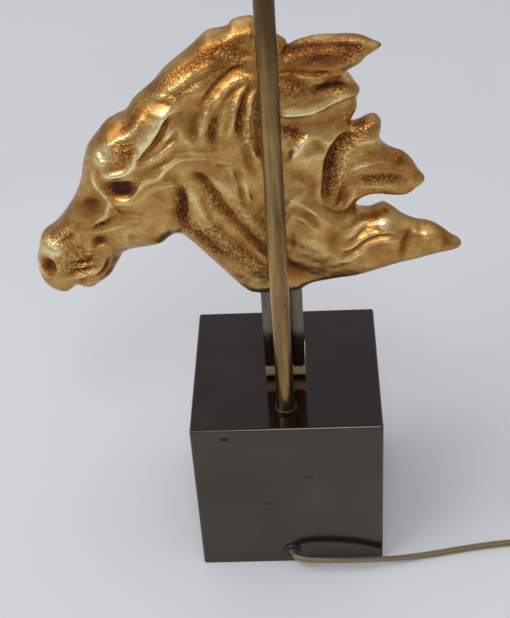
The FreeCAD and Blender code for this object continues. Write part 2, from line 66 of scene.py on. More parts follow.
def camera():
    """The photograph's viewpoint: in front of the lamp and above it, looking down."""
    level = math.cos(CAMERA_PITCH)
    ahead = Vector((math.sin(CAMERA_YAW) * level, math.cos(CAMERA_YAW) * level, -math.sin(CAMERA_PITCH)))
    flat_right = Vector((math.cos(CAMERA_YAW), -math.sin(CAMERA_YAW), 0))
    flat_up = flat_right.cross(ahead)
    right = flat_right * math.cos(CAMERA_ROLL) + flat_up * math.sin(CAMERA_ROLL)
    up = flat_up * math.cos(CAMERA_ROLL) - flat_right * math.sin(CAMERA_ROLL)
    data = bpy.data.cameras.new("camera")
    data.sensor_width = SENSOR_WIDTH
    data.lens = CAMERA_LENS
    obj = bpy.data.objects.new("camera", data)
    turn = Matrix((right, up, -ahead)).transposed().to_4x4()
    obj.matrix_world = Matrix.Translation(CAMERA_AT) @ turn
    bpy.context.scene.collection.objects.link(obj)
    bpy.context.scene.camera = obj


def softbox(name, place, target, size, power, colour):
    """A square area light of that size, aimed at target."""
    data = bpy.data.lights.new(name, "AREA")
    data.shape = "SQUARE"
    data.size = size
    data.energy = power
    data.color = colour
    obj = bpy.data.objects.new(name, data)
    aim = (Vector(target) - Vector(place)).to_track_quat("-Z", "Y")
    obj.matrix_world = Matrix.Translation(place) @ aim.to_matrix().to_4x4()
    bpy.context.scene.collection.objects.link(obj)


def room():
    """A pale room: brighter overhead than near the floor, so that the metal has something to reflect."""
    world = bpy.data.worlds.new("room")
    world.use_nodes = True
    bpy.context.scene.world = world
    tree = world.node_tree
    split = add_node(tree, "SeparateXYZ")
    tree.links.new(add_node(tree, "TexCoord").outputs["Generated"], split.inputs[0])
    shades = [(at, (grey, grey, grey * 1.02)) for at, grey in ROOM_GREYS]
    colour = ramp(tree, span(tree, split.outputs["Z"], -1, 1), shades)
    back = tree.nodes["Background"]
    tree.links.new(colour, back.inputs["Color"])
    back.inputs["Strength"].default_value = ROOM_STRENGTH


def floor():
    """A wide, pale, slightly clouded floor."""
    material, tree, shader = new_material("floor_paper", roughness=0.75)
    cloudy = noise(tree, scale=3.0, detail=3)
    colour = ramp(tree, cloudy, [(0.35, (0.650, 0.672, 0.710)), (0.65, (0.678, 0.700, 0.736))])
    tree.links.new(colour, shader.inputs["Base Color"])
    corners = [(x * FLOOR_REACH, y * FLOOR_REACH, 0) for x, y in ((-1, -1), (1, -1), (1, 1), (-1, 1))]
    obj = add_mesh("floor", corners, [(0, 1, 2, 3)], material)


def add_mesh(name, points, faces, material, layers=None):
    """A new object in the scene; with layers it is smooth and has those values at its points."""
    mesh = bpy.data.meshes.new(name)
    mesh.from_pydata(points, [], faces)
    if layers is not None:
        mesh.polygons.foreach_set("use_smooth", [True] * len(mesh.polygons))
        for layer_name, values in layers.items():
            layer = mesh.attributes.new(layer_name, "FLOAT", "POINT")
            layer.data.foreach_set("value", values)
        mesh.update()
    obj = bpy.data.objects.new(name, mesh)
    bpy.context.scene.collection.objects.link(obj)
    obj.data.materials.append(material)
    return obj


# ---------------------------------------------------------------- nodes shared by the materials


def new_material(name, roughness=0.5, metallic=0.0, colour=(0.8, 0.8, 0.8)):
    material = bpy.data.materials.new(name)
    material.use_nodes = True
    shader = material.node_tree.nodes["Principled BSDF"]
    shader.inputs["Roughness"].default_value = roughness
    shader.inputs["Metallic"].default_value = metallic
    shader.inputs["Base Color"].default_value = (*colour, 1)
    return material, material.node_tree, shader


def ramp(tree, value, stops):
    """A colour ramp; a stop is (position, colour) or (position, grey)."""
    node = add_node(tree, "ValToRGB")
    elements = node.color_ramp.elements
    while len(elements) < len(stops):
        elements.new(0.5)
    for element, (at, colour) in zip(elements, stops):
        element.position = at
        element.color = (*colour, 1) if isinstance(colour, tuple) else (colour, colour, colour, 1)
    tree.links.new(value, node.inputs[0])
    return node.outputs["Color"]


def add_node(tree, kind, **values):
    """A new shader node; values set its inputs by name, with _ for a space."""
    node = tree.nodes.new("ShaderNode" + kind)
    for name, value in values.items():
        node.inputs[name.replace("_", " ")].default_value = value
    return node


def coordinates(tree, stretch=(1, 1, 1)):
    mapping = add_node(tree, "Mapping", Scale=stretch)
    tree.links.new(add_node(tree, "TexCoord").outputs["Object"], mapping.inputs["Vector"])
    return mapping.outputs["Vector"]


def object_axes(tree):
    """The X, Y and Z outputs of the object's own coordinates."""
    split = add_node(tree, "SeparateXYZ")
    tree.links.new(add_node(tree, "TexCoord").outputs["Object"], split.inputs[0])
    return split.outputs


def noise(tree, scale, detail=2, stretch=(1, 1, 1), rough=0.5, twist=0.0):
    node = add_node(tree, "TexNoise", Scale=scale, Detail=detail, Roughness=rough, Distortion=twist)
    tree.links.new(coordinates(tree, stretch), node.inputs["Vector"])
    return node.outputs["Fac"]


def cells(tree, scale, stretch=(1, 1, 1)):
    node = add_node(tree, "TexVoronoi", Scale=scale)
    tree.links.new(coordinates(tree, stretch), node.inputs["Vector"])
    return node.outputs["Distance"]


def attribute(tree, name):
    node = add_node(tree, "Attribute")
    node.attribute_name = name
    return node.outputs["Fac"]


def plug_in(tree, value, socket):
    """Links a node's output to a socket, or sets the socket to a number."""
    if isinstance(value, (int, float)):
        socket.default_value = value
    else:
        tree.links.new(value, socket)


def sums(tree, operation, a, b=0.0, clamp=False):
    node = add_node(tree, "Math")
    node.operation = operation
    node.use_clamp = clamp
    plug_in(tree, a, node.inputs[0])
    plug_in(tree, b, node.inputs[1])
    return node.outputs[0]


def total_of(tree, *values, clamp=False):
    """The sum of several values, clamped at the end when asked."""
    total = values[0]
    for value in values[1:-1]:
        total = sums(tree, "ADD", total, value)
    return sums(tree, "ADD", total, values[-1], clamp=clamp)


def span(tree, value, low, high, to_low=0.0, to_high=1.0):
    node = add_node(tree, "MapRange", From_Min=low, From_Max=high, To_Min=to_low, To_Max=to_high)
    tree.links.new(value, node.inputs["Value"])
    return node.outputs["Result"]


def mix(tree, share, a, b):
    node = add_node(tree, "Mix")
    node.data_type = "RGBA"
    tree.links.new(share, node.inputs["Factor"])
    for value, socket in ((a, node.inputs[6]), (b, node.inputs[7])):
        if isinstance(value, tuple):
            socket.default_value = (*value, 1)
        else:
            tree.links.new(value, socket)
    return node.outputs[2]


def bump(tree, shader, height, strength, depth):
    node = add_node(tree, "Bump", Strength=strength, Distance=depth)
    tree.links.new(height, node.inputs["Height"])
    tree.links.new(node.outputs[0], shader.inputs["Normal"])


# ---------------------------------------------------------------- drawing lines in the casting's plane


def curve_through(points, closed=False, steps=6):
    """Points along a smooth Catmull-Rom curve through the given (x, z) points."""
    p = np.array(points, float)
    if closed:
        before, after, after2 = np.roll(p, 1, 0), np.roll(p, -1, 0), np.roll(p, -2, 0)
    else:
        before = np.vstack([p[:1], p[:-1]])
        after = np.vstack([p[1:], p[-1:]])
        after2 = np.vstack([p[2:], p[-1:], p[-1:]])
    spans = len(p) if closed else len(p) - 1
    made = []
    for i in range(spans):
        a, b, c, d = before[i], p[i], after[i], after2[i]
        for t in np.arange(steps) / steps:
            slope = 0.5 * t * (c - a)
            bend = t * t * (a - 2.5 * b + 2 * c - 0.5 * d)
            swing = t**3 * (1.5 * (b - c) + 0.5 * (d - a))
            made.append(b + slope + bend + swing)
    if not closed:
        made.append(p[-1])
    return np.array(made)


def nearest(x, z, line):
    """Distance from each (x, z) to a line of points, the side it is on and how far along it is."""
    best = np.full(x.shape, 1e9)
    side = np.zeros(x.shape)
    along = np.zeros(x.shape)
    lengths = np.hypot(*np.diff(line, axis=0).T)
    starts = np.concatenate([[0], np.cumsum(lengths)])
    for (ax, az), (bx, bz), start, length in zip(line, line[1:], starts, lengths):
        ux, uz = (bx - ax) / length, (bz - az) / length
        t = np.clip((x - ax) * ux + (z - az) * uz, 0, length)
        dx, dz = x - ax - t * ux, z - az - t * uz
        away = np.hypot(dx, dz)
        closer = away < best
        best = np.where(closer, away, best)
        side = np.where(closer, ux * dz - uz * dx, side)
        along = np.where(closer, start + t, along)
    return best, side, along, starts[-1]


def blur(field, sigma):
    """A Gaussian blur of a 2-D field, with sigma in grid steps."""
    reach = int(math.ceil(sigma * 3))
    weights = np.exp(-0.5 * (np.arange(-reach, reach + 1) / sigma) ** 2)
    weights /= weights.sum()
    for axis in (0, 1):
        wide = np.pad(field, [(reach, reach) if k == axis else (0, 0) for k in (0, 1)], mode="edge")
        size = field.shape[axis]
        slices = [np.take(wide, range(k, k + size), axis=axis) for k in range(2 * reach + 1)]
        field = sum(w * s for w, s in zip(weights, slices))
    return field


# ---------------------------------------------------------------- the horse's head

HEAD_Y = -10.4
# The box that the casting's surface is looked for in, and the step of its grid
GRID = 1.08
GRID_X = (-164.0, 123.0)
GRID_Z = (202.0, 406.0)
GRID_Y = (-41.0, 20.0)
# Relief, patina and painted light are drawn as the eye sees them on the plane y = DRAWN_Y, then carried to
# the surface.
EYE_X, EYE_Y, EYE_Z = (round(v / MM, 1) for v in CAMERA_AT)
DRAWN_Y = -12.0

# The casting's outline in its upright middle plane, as (x, z)
OUTLINE = [
    (-7, 398), (-13, 398.5), (-20.5, 397), (-24.5, 393.5), (-36, 391.5), (-46.5, 382), (-62.5, 369.5),
    (-71.5, 359.5), (-82, 351), (-89, 342), (-94.5, 339.5), (-101.5, 335.5), (-107.5, 328.5), (-114, 320.5),
    (-118, 310), (-121.5, 297), (-127, 285), (-136, 272), (-144.5, 263), (-152, 257), (-155, 249),
    (-158, 238),
    (-157, 226), (-153.5, 219.3), (-147.5, 214.8), (-141, 213.4), (-136, 216.6), (-133, 218.8),
    (-129, 217), (-123.5, 216.5), (-117.5, 220.5),
    (-110.5, 226), (-103.5, 237.5), (-97.5, 245.5), (-82.5, 249.5), (-72, 253), (-64, 259), (-58, 253.5),
    (-47, 240), (-35, 225), (-25, 212.5), (-16.5, 208), (3, 207.5), (13.5, 209.5), (20.5, 214), (30, 216),
    (48, 219), (66, 224), (84, 229.5), (99, 234), (112, 236.5), (117, 239.5), (115.5, 243), (110.5, 246.5),
    (105.5, 251.5), (97.5, 256), (86.5, 258.5), (79.5, 261.5), (73, 266.5), (67.5, 269), (59, 266),
    (52, 267),
    (50, 273), (54, 278), (61, 279.5), (73, 277.5), (81, 277.5), (87, 281), (93, 287), (89, 293), (85, 300),
    (79, 306), (70, 310.5), (64.5, 319), (65.5, 330), (61.5, 335), (55.5, 333.5), (50, 330.5), (47, 332),
    (51, 339.5), (51, 345.5), (53, 350), (50, 355), (47, 360), (44.5, 364), (48, 367), (53, 370.5),
    (57, 375.5),
    (62, 378.5), (65.5, 381.5), (60.5, 384), (54.5, 387), (47, 388), (38, 387.5), (27, 386.5),
    (15.5, 383.5),
    (11, 381), (10.5, 384), (4.5, 388.5),
]  # fmt: skip

# Places where the casting's half-depth is known: (x, z, half-depth)
DEPTHS = [
    (-150, 243, 14), (-140, 248, 16), (-128, 232, 12), (-135, 262, 15), (-122, 272, 16), (-112, 262, 17),
    (-100, 272, 20), (-118, 290, 15), (-108, 308, 17), (-96, 302, 21), (-82, 282, 25), (-68, 282, 24),
    (-96, 320, 19), (-82, 312, 23), (-84, 335, 17), (-66, 352, 17), (-60, 330, 23), (-45, 312, 23),
    (-50, 280, 18), (-40, 245, 17), (-30, 282, 22), (-30, 340, 23), (-38, 370, 17), (-20, 388, 11),
    (-12, 397, 7), (0, 378, 14), (0, 350, 20), (0, 320, 22), (0, 282, 22), (0, 242, 19), (0, 217, 14),
    (20, 220, 13), (25, 258, 20), (30, 308, 16), (20, 346, 15), (20, 376, 9), (45, 379, 7), (62, 381, 4),
    (40, 354, 9), (50, 350, 6), (50, 326, 10), (60, 330, 7), (60, 304, 11), (78, 301, 8), (90, 288, 4),
    (50, 290, 11), (50, 250, 16), (70, 257, 14), (85, 247, 10), (100, 245, 7), (114, 240, 5),
]  # fmt: skip
# How far each of them counts, and how much of the relief moves the outline
DEPTH_REACH = 13.0
EDGE_RELIEF = 0.25
# The edge is rounded over this share of the half-depth, within these limits
ROUND_SHARE = 0.85
ROUND_LIMITS = (3.5, 16)
# The half-depth's upper limit in the middle, and how fast it falls towards the ends
DEEPEST = 25.0
DEEPEST_FALL = 0.02
# Random unevenness of the skin: (height, size, seed); the last one only where the skin is stippled
SKIN_WAVES = [(0.22, 17, 3), (0.10, 7, 5)]
SKIN_GRAIN = (0.20, 3.6, 7)
# How far below its surroundings a place lies: (weight, reach of the surroundings)
CAVITY_REACHES = [(0.9, 2.2), (0.55, 6)]

# How far the middle of a lock of mane stands in front of the casting's middle: (x, z, reach, amount)
SWAYS = [
    (55, 382, 22, -4), (45, 352, 16, 3), (58, 328, 14, -3), (78, 295, 20, 2.5), (100, 244, 26, -3),
    (-12, 397, 14, 3),
]  # fmt: skip

# Relief: (height, widths on the left and right or one for both, points). A negative height is a groove.
FACE_RELIEF = [
    # muzzle, nostril and mouth
    (2.1, 6, [(-150, 252), (-146, 246), (-142, 239)]),
    (1.6, 1.6, 1.8, [(-157, 240), (-158, 233), (-156, 226), (-151, 222)]),
    (1.5, 2.2, 1.2, [(-151, 240), (-147, 236), (-146, 229), (-148, 224)]),
    (-1.6, 1.1, 1.4, [(-143, 223.5), (-136, 226.5), (-127, 228.5), (-119, 231)]),
    (1.7, 2.0, 1.8, [(-141, 220.5), (-133, 223), (-125, 225.5), (-117, 228.5), (-113, 234)]),
    (-2.6, 1.5, 1.3, [(-119, 223.5), (-114, 229), (-111, 236)]),
    (1.2, 3.0, [(-129, 217.5), (-124, 217), (-118, 221)]),
    (-1.4, 1.3, [(-133, 218), (-129, 220.5)]),
    (1.4, 1.4, [(-138, 236), (-130, 239), (-120, 241)]),
    (-1.5, 1.5, [(-139, 230), (-133, 234), (-127, 234), (-121, 237)]),
    (1.3, 1.2, [(-136, 232), (-130, 231), (-124, 233)]),
    (1.1, 1.2, [(-126, 240), (-122, 247), (-122, 254)]),
    (-1.0, 1.3, [(-131, 243), (-127, 249), (-127, 256)]),
    (0.8, 2.2, [(-133, 262), (-128, 253), (-124, 246)]),
    (1.2, 1.3, [(-146, 250), (-138, 257), (-132, 261)]),
    (-1.2, 1.3, [(-142, 249), (-135, 254), (-130, 259)]),
    (-0.9, 1.3, [(-148, 255), (-141, 261), (-134, 266)]),
    (1.3, 1.4, [(-122, 243), (-116, 245.5), (-110, 247)]),
    # bones of the face
    (1.9, 1.2, 1.3, [(-112.5, 304), (-113.5, 297), (-112, 291), (-109, 286), (-105.5, 281)]),
    (1.6, 1.2, 1.3, [(-105.5, 281), (-107, 275), (-110, 269), (-115, 265), (-120, 262)]),
    (-1.5, 1.6, 1.8, [(-119, 260.5), (-113, 263), (-107, 265.5), (-102, 269)]),
    (1.2, 1.5, [(-120, 257), (-110, 258.5), (-103, 261), (-95, 261.5)]),
    (-1.2, 1.2, [(-122, 281), (-119, 279), (-113, 280)]),
    (-0.9, 1.1, [(-103, 266.5), (-94, 267), (-84, 266)]),
    (-0.9, 1.1, [(-101, 271), (-92, 271.5), (-82, 270)]),
    (-0.7, 1.1, [(-98, 262.5), (-90, 263), (-82, 262)]),
    (-1.1, 1.1, 1.4, [(-97, 252.5), (-91, 252.5)]),
    # eye and brow
    (2.6, 2.6, 3.2, [(-107, 300.3), (-100, 299.5), (-94, 301), (-89, 304.5), (-86, 309.5), (-81, 315.5)]),
    (2.3, 4.5, 1.4, [(-83, 313), (-76, 321), (-71, 328.5), (-67, 335), (-62, 340.5), (-55, 343)]),
    (1.4, 6.0, [(-84, 318), (-77, 328), (-70, 338), (-62, 345)]),
    (0.7, 1.2, [(-105, 295.3), (-98, 294.3), (-90, 295)]),
    (2.4, 1.2, 1.4, [(-101, 281), (-94, 281), (-90, 283.5), (-86, 288.5), (-83, 292.5), (-77, 294.5)]),
    (1.7, 1.3, 1.8, [(-78, 294.3), (-73, 296), (-69, 300.5), (-65, 305), (-60, 308.3), (-52, 309.5),
        (-42, 308.5)]),
    (2.0, 2.6, 2.0, [(-102, 279.5), (-95, 278.5), (-88, 279), (-83, 282), (-79, 287), (-70, 290),
        (-60, 290.5)]),
    (1.5, 1.6, [(-84, 304), (-77, 308), (-70, 312.5), (-63, 318), (-58, 321)]),
    (-1.6, 1.5, [(-82, 300.5), (-76, 302), (-70, 305), (-62, 310)]),
    (-1.7, 0.9, 1.5, [(-54, 342), (-60, 340.5), (-63, 336.5), (-66, 330), (-71, 322), (-78, 314.5),
        (-84, 307)]),
    (1.6, 1.5, 2.4, [(-73, 317), (-67, 322), (-63, 328), (-61, 334)]),
    (-0.9, 1.3, [(-70, 315), (-62, 322), (-57, 330)]),
    # forehead
    (1.6, 1.1, 3.0, [(-112, 316.5), (-104, 320.3), (-96, 324.5), (-88, 328.5), (-83, 333.5), (-78, 341)]),
    (2.2, 3.0, 4.0, [(-109.5, 317), (-108, 311), (-105, 305)]),
    (-1.4, 2.2, [(-94, 328), (-87, 334), (-82, 342), (-76, 349)]),
    (-0.8, 1.6, [(-110, 306), (-109, 300), (-108, 292)]),
    # cheek and throat
    (2.2, 13, [(-84, 267), (-74, 270)]),
    (-3.2, 2.4, 5.0, [(-60, 291), (-58.5, 283), (-58.5, 272), (-59, 262), (-57, 254)]),
    (-1.4, 3.5, [(-56, 262), (-49, 250), (-40, 241)]),
    (1.6, 3.5, 4.0, [(-55, 290), (-50, 275), (-43, 259), (-33, 244), (-21, 231), (-8, 219)]),
    (-2.4, 2.6, 3.4, [(-53, 298), (-46, 295), (-39, 285), (-32, 270), (-22, 255), (-11, 241), (0, 230)]),
    (-0.9, 1.8, [(-47, 284), (-43, 268), (-34, 254), (-22, 240), (-10, 228)]),
    (1.8, 5.0, [(-38, 297), (-29, 284), (-20, 268), (-10, 253)]),
    (-1.0, 3.0, [(-25, 302), (-20, 290), (-12, 276)]),
    (1.3, 1.5, [(-19.5, 292), (-17.5, 284), (-17, 276)]),
    (1.1, 1.3, [(-28, 301), (-25, 294)]),
    (-0.9, 1.6, [(-23, 295), (-21, 283), (-20, 272)]),
]  # fmt: skip

MANE_RELIEF = [
    # crest and forelock, in front of the rod
    (-0.8, 3.0, [(-72, 356), (-56, 367), (-42, 374), (-30, 381), (-14, 385)]),
    (1.3, 2.0, 2.6, [(-70, 351), (-58, 358), (-49, 364), (-41, 369), (-32, 372)]),
    (-0.9, 2.0, [(-60, 351), (-50, 357), (-38, 364), (-26, 371)]),
    (-1.3, 3.0, [(-67, 349), (-61, 347)]),
    (1.2, 1.6, [(-72, 353), (-67, 353.5), (-58, 350), (-56, 345)]),
    (1.1, 5.0, [(-58, 350), (-46, 353), (-38, 358)]),
    (-2.0, 1.4, 1.8, [(-42, 346), (-36, 354), (-30, 361), (-22, 367.5), (-13, 370)]),
    (1.9, 1.8, 3.0, [(-36, 344), (-30, 352), (-25, 358), (-18, 362.5), (-11, 362)]),
    (-0.9, 1.3, [(-31, 345), (-24, 352), (-17, 357)]),
    (1.7, 1.3, 2.6, [(-28, 323), (-24, 332), (-22, 342), (-19, 351), (-13, 360)]),
    (-2.0, 1.5, [(-20, 322), (-20, 333), (-17, 345), (-12, 355)]),
    (1.7, 2.6, [(-10, 352), (-13, 339), (-15, 327), (-13, 315), (-10, 306)]),
    (-1.3, 2.4, [(-17, 316), (-15, 303), (-12, 294)]),
    (1.6, 4.0, 3.0, [(-57, 335), (-54, 325), (-50, 316)]),
    (-1.9, 3.0, [(-43, 343), (-48, 333), (-49, 321)]),
    (1.6, 2.6, [(-37, 343), (-42, 331), (-43, 319)]),
    (-1.7, 2.2, [(-32, 341), (-36.5, 329), (-37, 317)]),
    (1.4, 2.2, [(-27, 341), (-31, 330), (-31, 320)]),
    (0.9, 1.2, [(-62, 311.5), (-52, 313.5), (-42, 312.5), (-32, 313)]),
    (0.8, 1.1, [(-38, 306), (-30, 305), (-22, 306)]),
    (-1.0, 1.8, [(-36, 302.5), (-30, 303)]),
    (1.0, 3.2, [(-36, 384), (-24, 388), (-12, 391)]),
    (-0.8, 3.0, 2.4, [(-22, 378), (-14, 376), (-8, 378)]),
    (1.0, 2.6, [(-40, 377), (-28, 378), (-16, 373)]),
    # first and second locks
    (1.2, 2.0, 2.6, [(10, 382), (22, 386), (38, 388), (52, 385), (62, 382)]),
    (-1.8, 1.8, 2.6, [(10, 379), (22, 382.5), (34, 382), (46, 382), (57, 383)]),
    (0.9, 3.0, [(4, 372), (16, 375), (28, 378), (40, 376)]),
    (-1.0, 1.8, [(14, 368), (24, 371), (34, 374), (42, 372)]),
    (1.4, 2.6, 2.0, [(30, 366), (38, 367), (45, 370), (53, 375)]),
    (-1.4, 1.6, [(2, 365), (14, 365), (26, 363), (36, 364)]),
    (1.6, 1.6, 3.0, [(16, 361), (30, 361), (40, 363), (46, 360), (50, 353)]),
    (-2.0, 2.4, 1.8, [(24, 351), (32, 353), (40, 354.5), (48, 352)]),
    (1.2, 1.6, [(20, 355), (27, 357), (33, 359)]),
    (1.1, 1.6, [(26, 349), (36, 349.5), (46, 349)]),
    (1.0, 2.6, [(4, 356), (12, 354), (20, 350)]),
    # third lock
    (2.6, 4.0, 2.2, [(2, 338), (12, 337.3), (22, 338.3), (31, 341), (40, 345), (49, 347)]),
    (-1.4, 4.0, [(6, 330), (20, 331), (34, 331), (44, 336)]),
    (-1.8, 2.6, [(3, 328), (10, 325), (19, 321)]),
    (2.6, 1.8, 3.0, [(10, 307), (14, 313), (19, 319), (24, 322)]),
    (1.5, 3.0, [(46, 324), (54, 328), (60, 333)]),
    (-1.3, 2.6, [(26, 319), (28, 314), (33, 312)]),
    (1.0, 5.0, [(8, 302), (16, 306), (24, 304)]),
    (-1.0, 4.0, [(8, 296), (20, 294)]),
    # fourth lock
    (-3.4, 4.8, 1.6, [(50, 325), (43, 321), (37, 314), (33, 304), (31, 292), (30, 280), (31, 272)]),
    (1.3, 2.6, 3.2, [(48, 317), (43, 304), (41, 292), (36, 278)]),
    (1.5, 1.8, 2.0, [(46, 296), (52, 299.5), (60, 301), (68, 301)]),
    (1.6, 3.0, [(48, 315), (56, 318), (64, 317)]),
    (-2.2, 2.4, [(43, 284), (41, 276), (37, 269)]),
    (1.4, 1.5, [(50, 286), (48, 277), (44, 269)]),
    (1.1, 2.0, [(50, 285), (62, 284), (76, 283)]),
    (-1.1, 2.4, [(50, 290), (62, 290), (72, 289), (82, 287)]),
    (-1.0, 3.0, [(72, 306), (77, 302), (80, 297)]),
    (-1.9, 1.3, 1.9, [(28, 273), (33, 267.5), (40, 265), (47, 266), (51, 269)]),
    # the neck beside the rod
    (1.2, 1.6, [(3, 272), (12, 275), (20, 270), (27, 263), (34, 257)]),
    (-1.2, 1.6, [(3, 267), (12, 269), (19, 264), (27, 256)]),
    (1.0, 1.6, [(4, 261), (13, 263), (20, 257), (28, 250)]),
    (1.0, 1.2, [(14, 291), (18, 285), (16, 279), (10, 275)]),
    (-0.9, 2.0, [(24, 290), (24, 280), (26, 272)]),
    (-1.4, 4.5, [(40, 254), (36, 244), (34, 234)]),
    # last lock
    (1.6, 1.6, 2.2, [(38, 228.5), (45, 229.5), (52, 234.5), (58, 240), (66, 243.5), (77, 244)]),
    (-1.3, 1.2, [(40, 232.5), (48, 235.5), (55, 241.5), (64, 246.5), (76, 247.5)]),
    (1.4, 1.3, [(40, 236), (48, 240), (54, 245.5), (63, 249.5), (72, 250)]),
    (-1.2, 1.2, [(41, 240.5), (48, 245), (54, 251), (60, 254)]),
    (1.2, 1.6, [(42, 246), (49, 251), (55, 258), (60, 262)]),
    (-1.2, 1.4, [(40, 252), (48, 256), (54, 263), (60, 268)]),
    (1.2, 1.8, [(42, 259), (50, 264), (58, 268)]),
    (2.8, 7.0, 6.0, [(63, 255), (67, 258), (70, 262)]),
    (-1.4, 2.2, [(59, 262), (63, 266)]),
    (-1.6, 1.5, 2.4, [(79, 232), (80, 242), (84, 253)]),
    (-0.9, 1.5, [(88, 258), (91, 250), (90, 242)]),
    (1.2, 4.0, [(88, 246), (96, 250), (103, 246)]),
    (-1.2, 1.5, 2.0, [(105, 236), (106, 245), (104, 252)]),
    (-1.8, 4.5, [(2, 230), (10, 223), (20, 217), (32, 216)]),
    (1.6, 6, [(8, 245), (22, 243), (34, 230)]),
]  # fmt: skip

# Pits: (x, z, half-width, half-height, lean in degrees, depth)
PITS = [
    (-151.5, 232, 4.4, 6.2, 14, 2.8),
    (-97.5, 288.8, 10.5, 6.0, -4, 3.2),
    (-96, 289.0, 4.4, 3.4, 0, -1.2),
    (-115.5, 250.5, 5.0, 3.0, 4, 1.7),
    (-117, 278, 8.0, 8.0, 20, 2.2),
    (10, 325, 8.0, 4.0, -20, 0.8),
]

# Brown, stippled patina that lies in the hollows: (strength, one or two widths, points)
STIPPLE = [
    (1.0, 6, 7, [(-100, 312), (-93, 315), (-86, 322)]),
    (0.7, 3.5, [(-92, 329), (-86, 335), (-82, 343)]),
    (1.1, 4, [(-106, 290), (-98, 289), (-92, 288)]),
    (0.9, 3, 4, [(-104, 276), (-99, 273), (-96, 270)]),
    (1.4, 2.2, [(-119, 261), (-112, 263.5), (-104, 268)]),
    (1.3, 9, [(-142, 233), (-132, 235), (-122, 240)]),
    (0.8, 6, [(-148, 256), (-140, 255), (-132, 260)]),
    (1.2, 3, 5, [(-59, 290), (-58, 278), (-58, 264), (-52, 254), (-44, 246), (-35, 237)]),
    (0.9, 3.5, [(-45, 292), (-40, 281), (-34, 268)]),
    (0.9, 5, [(-47, 264), (-36, 246), (-22, 231), (-10, 221)]),
    (0.5, 7, [(-28, 276), (-20, 256), (-8, 242)]),
    (0.4, 5, [(-74, 354), (-58, 365), (-44, 372), (-30, 380), (-14, 384)]),
    (0.4, 5, [(-64, 349), (-58, 353), (-46, 362)]),
    (0.4, 9, [(-38, 374), (-24, 372), (-12, 376)]),
    (0.6, 5, [(-14, 345), (-16, 328), (-13, 312)]),
    (0.6, 4, [(-34, 338), (-38, 322)]),
    (0.9, 6, [(40, 374), (48, 378), (56, 381)]),
    (0.5, 7, [(4, 376), (20, 378), (34, 380)]),
    (0.7, 6, [(4, 355), (14, 353), (24, 350)]),
    (0.6, 4, [(24, 352), (36, 353), (48, 350)]),
    (1.2, 4, [(4, 328), (10, 325), (18, 321)]),
    (0.9, 5, [(48, 328), (56, 329), (62, 328)]),
    (0.8, 9, 2.5, [(50, 323), (41, 316), (36, 304), (34, 290), (33, 276)]),
    (0.8, 4, [(50, 288), (62, 289), (74, 288), (82, 287)]),
    (0.7, 4, [(74, 305), (79, 299)]),
    (0.6, 3, [(45, 336), (46, 330)]),
    (0.5, 4, [(56, 308), (64, 306)]),
]  # fmt: skip
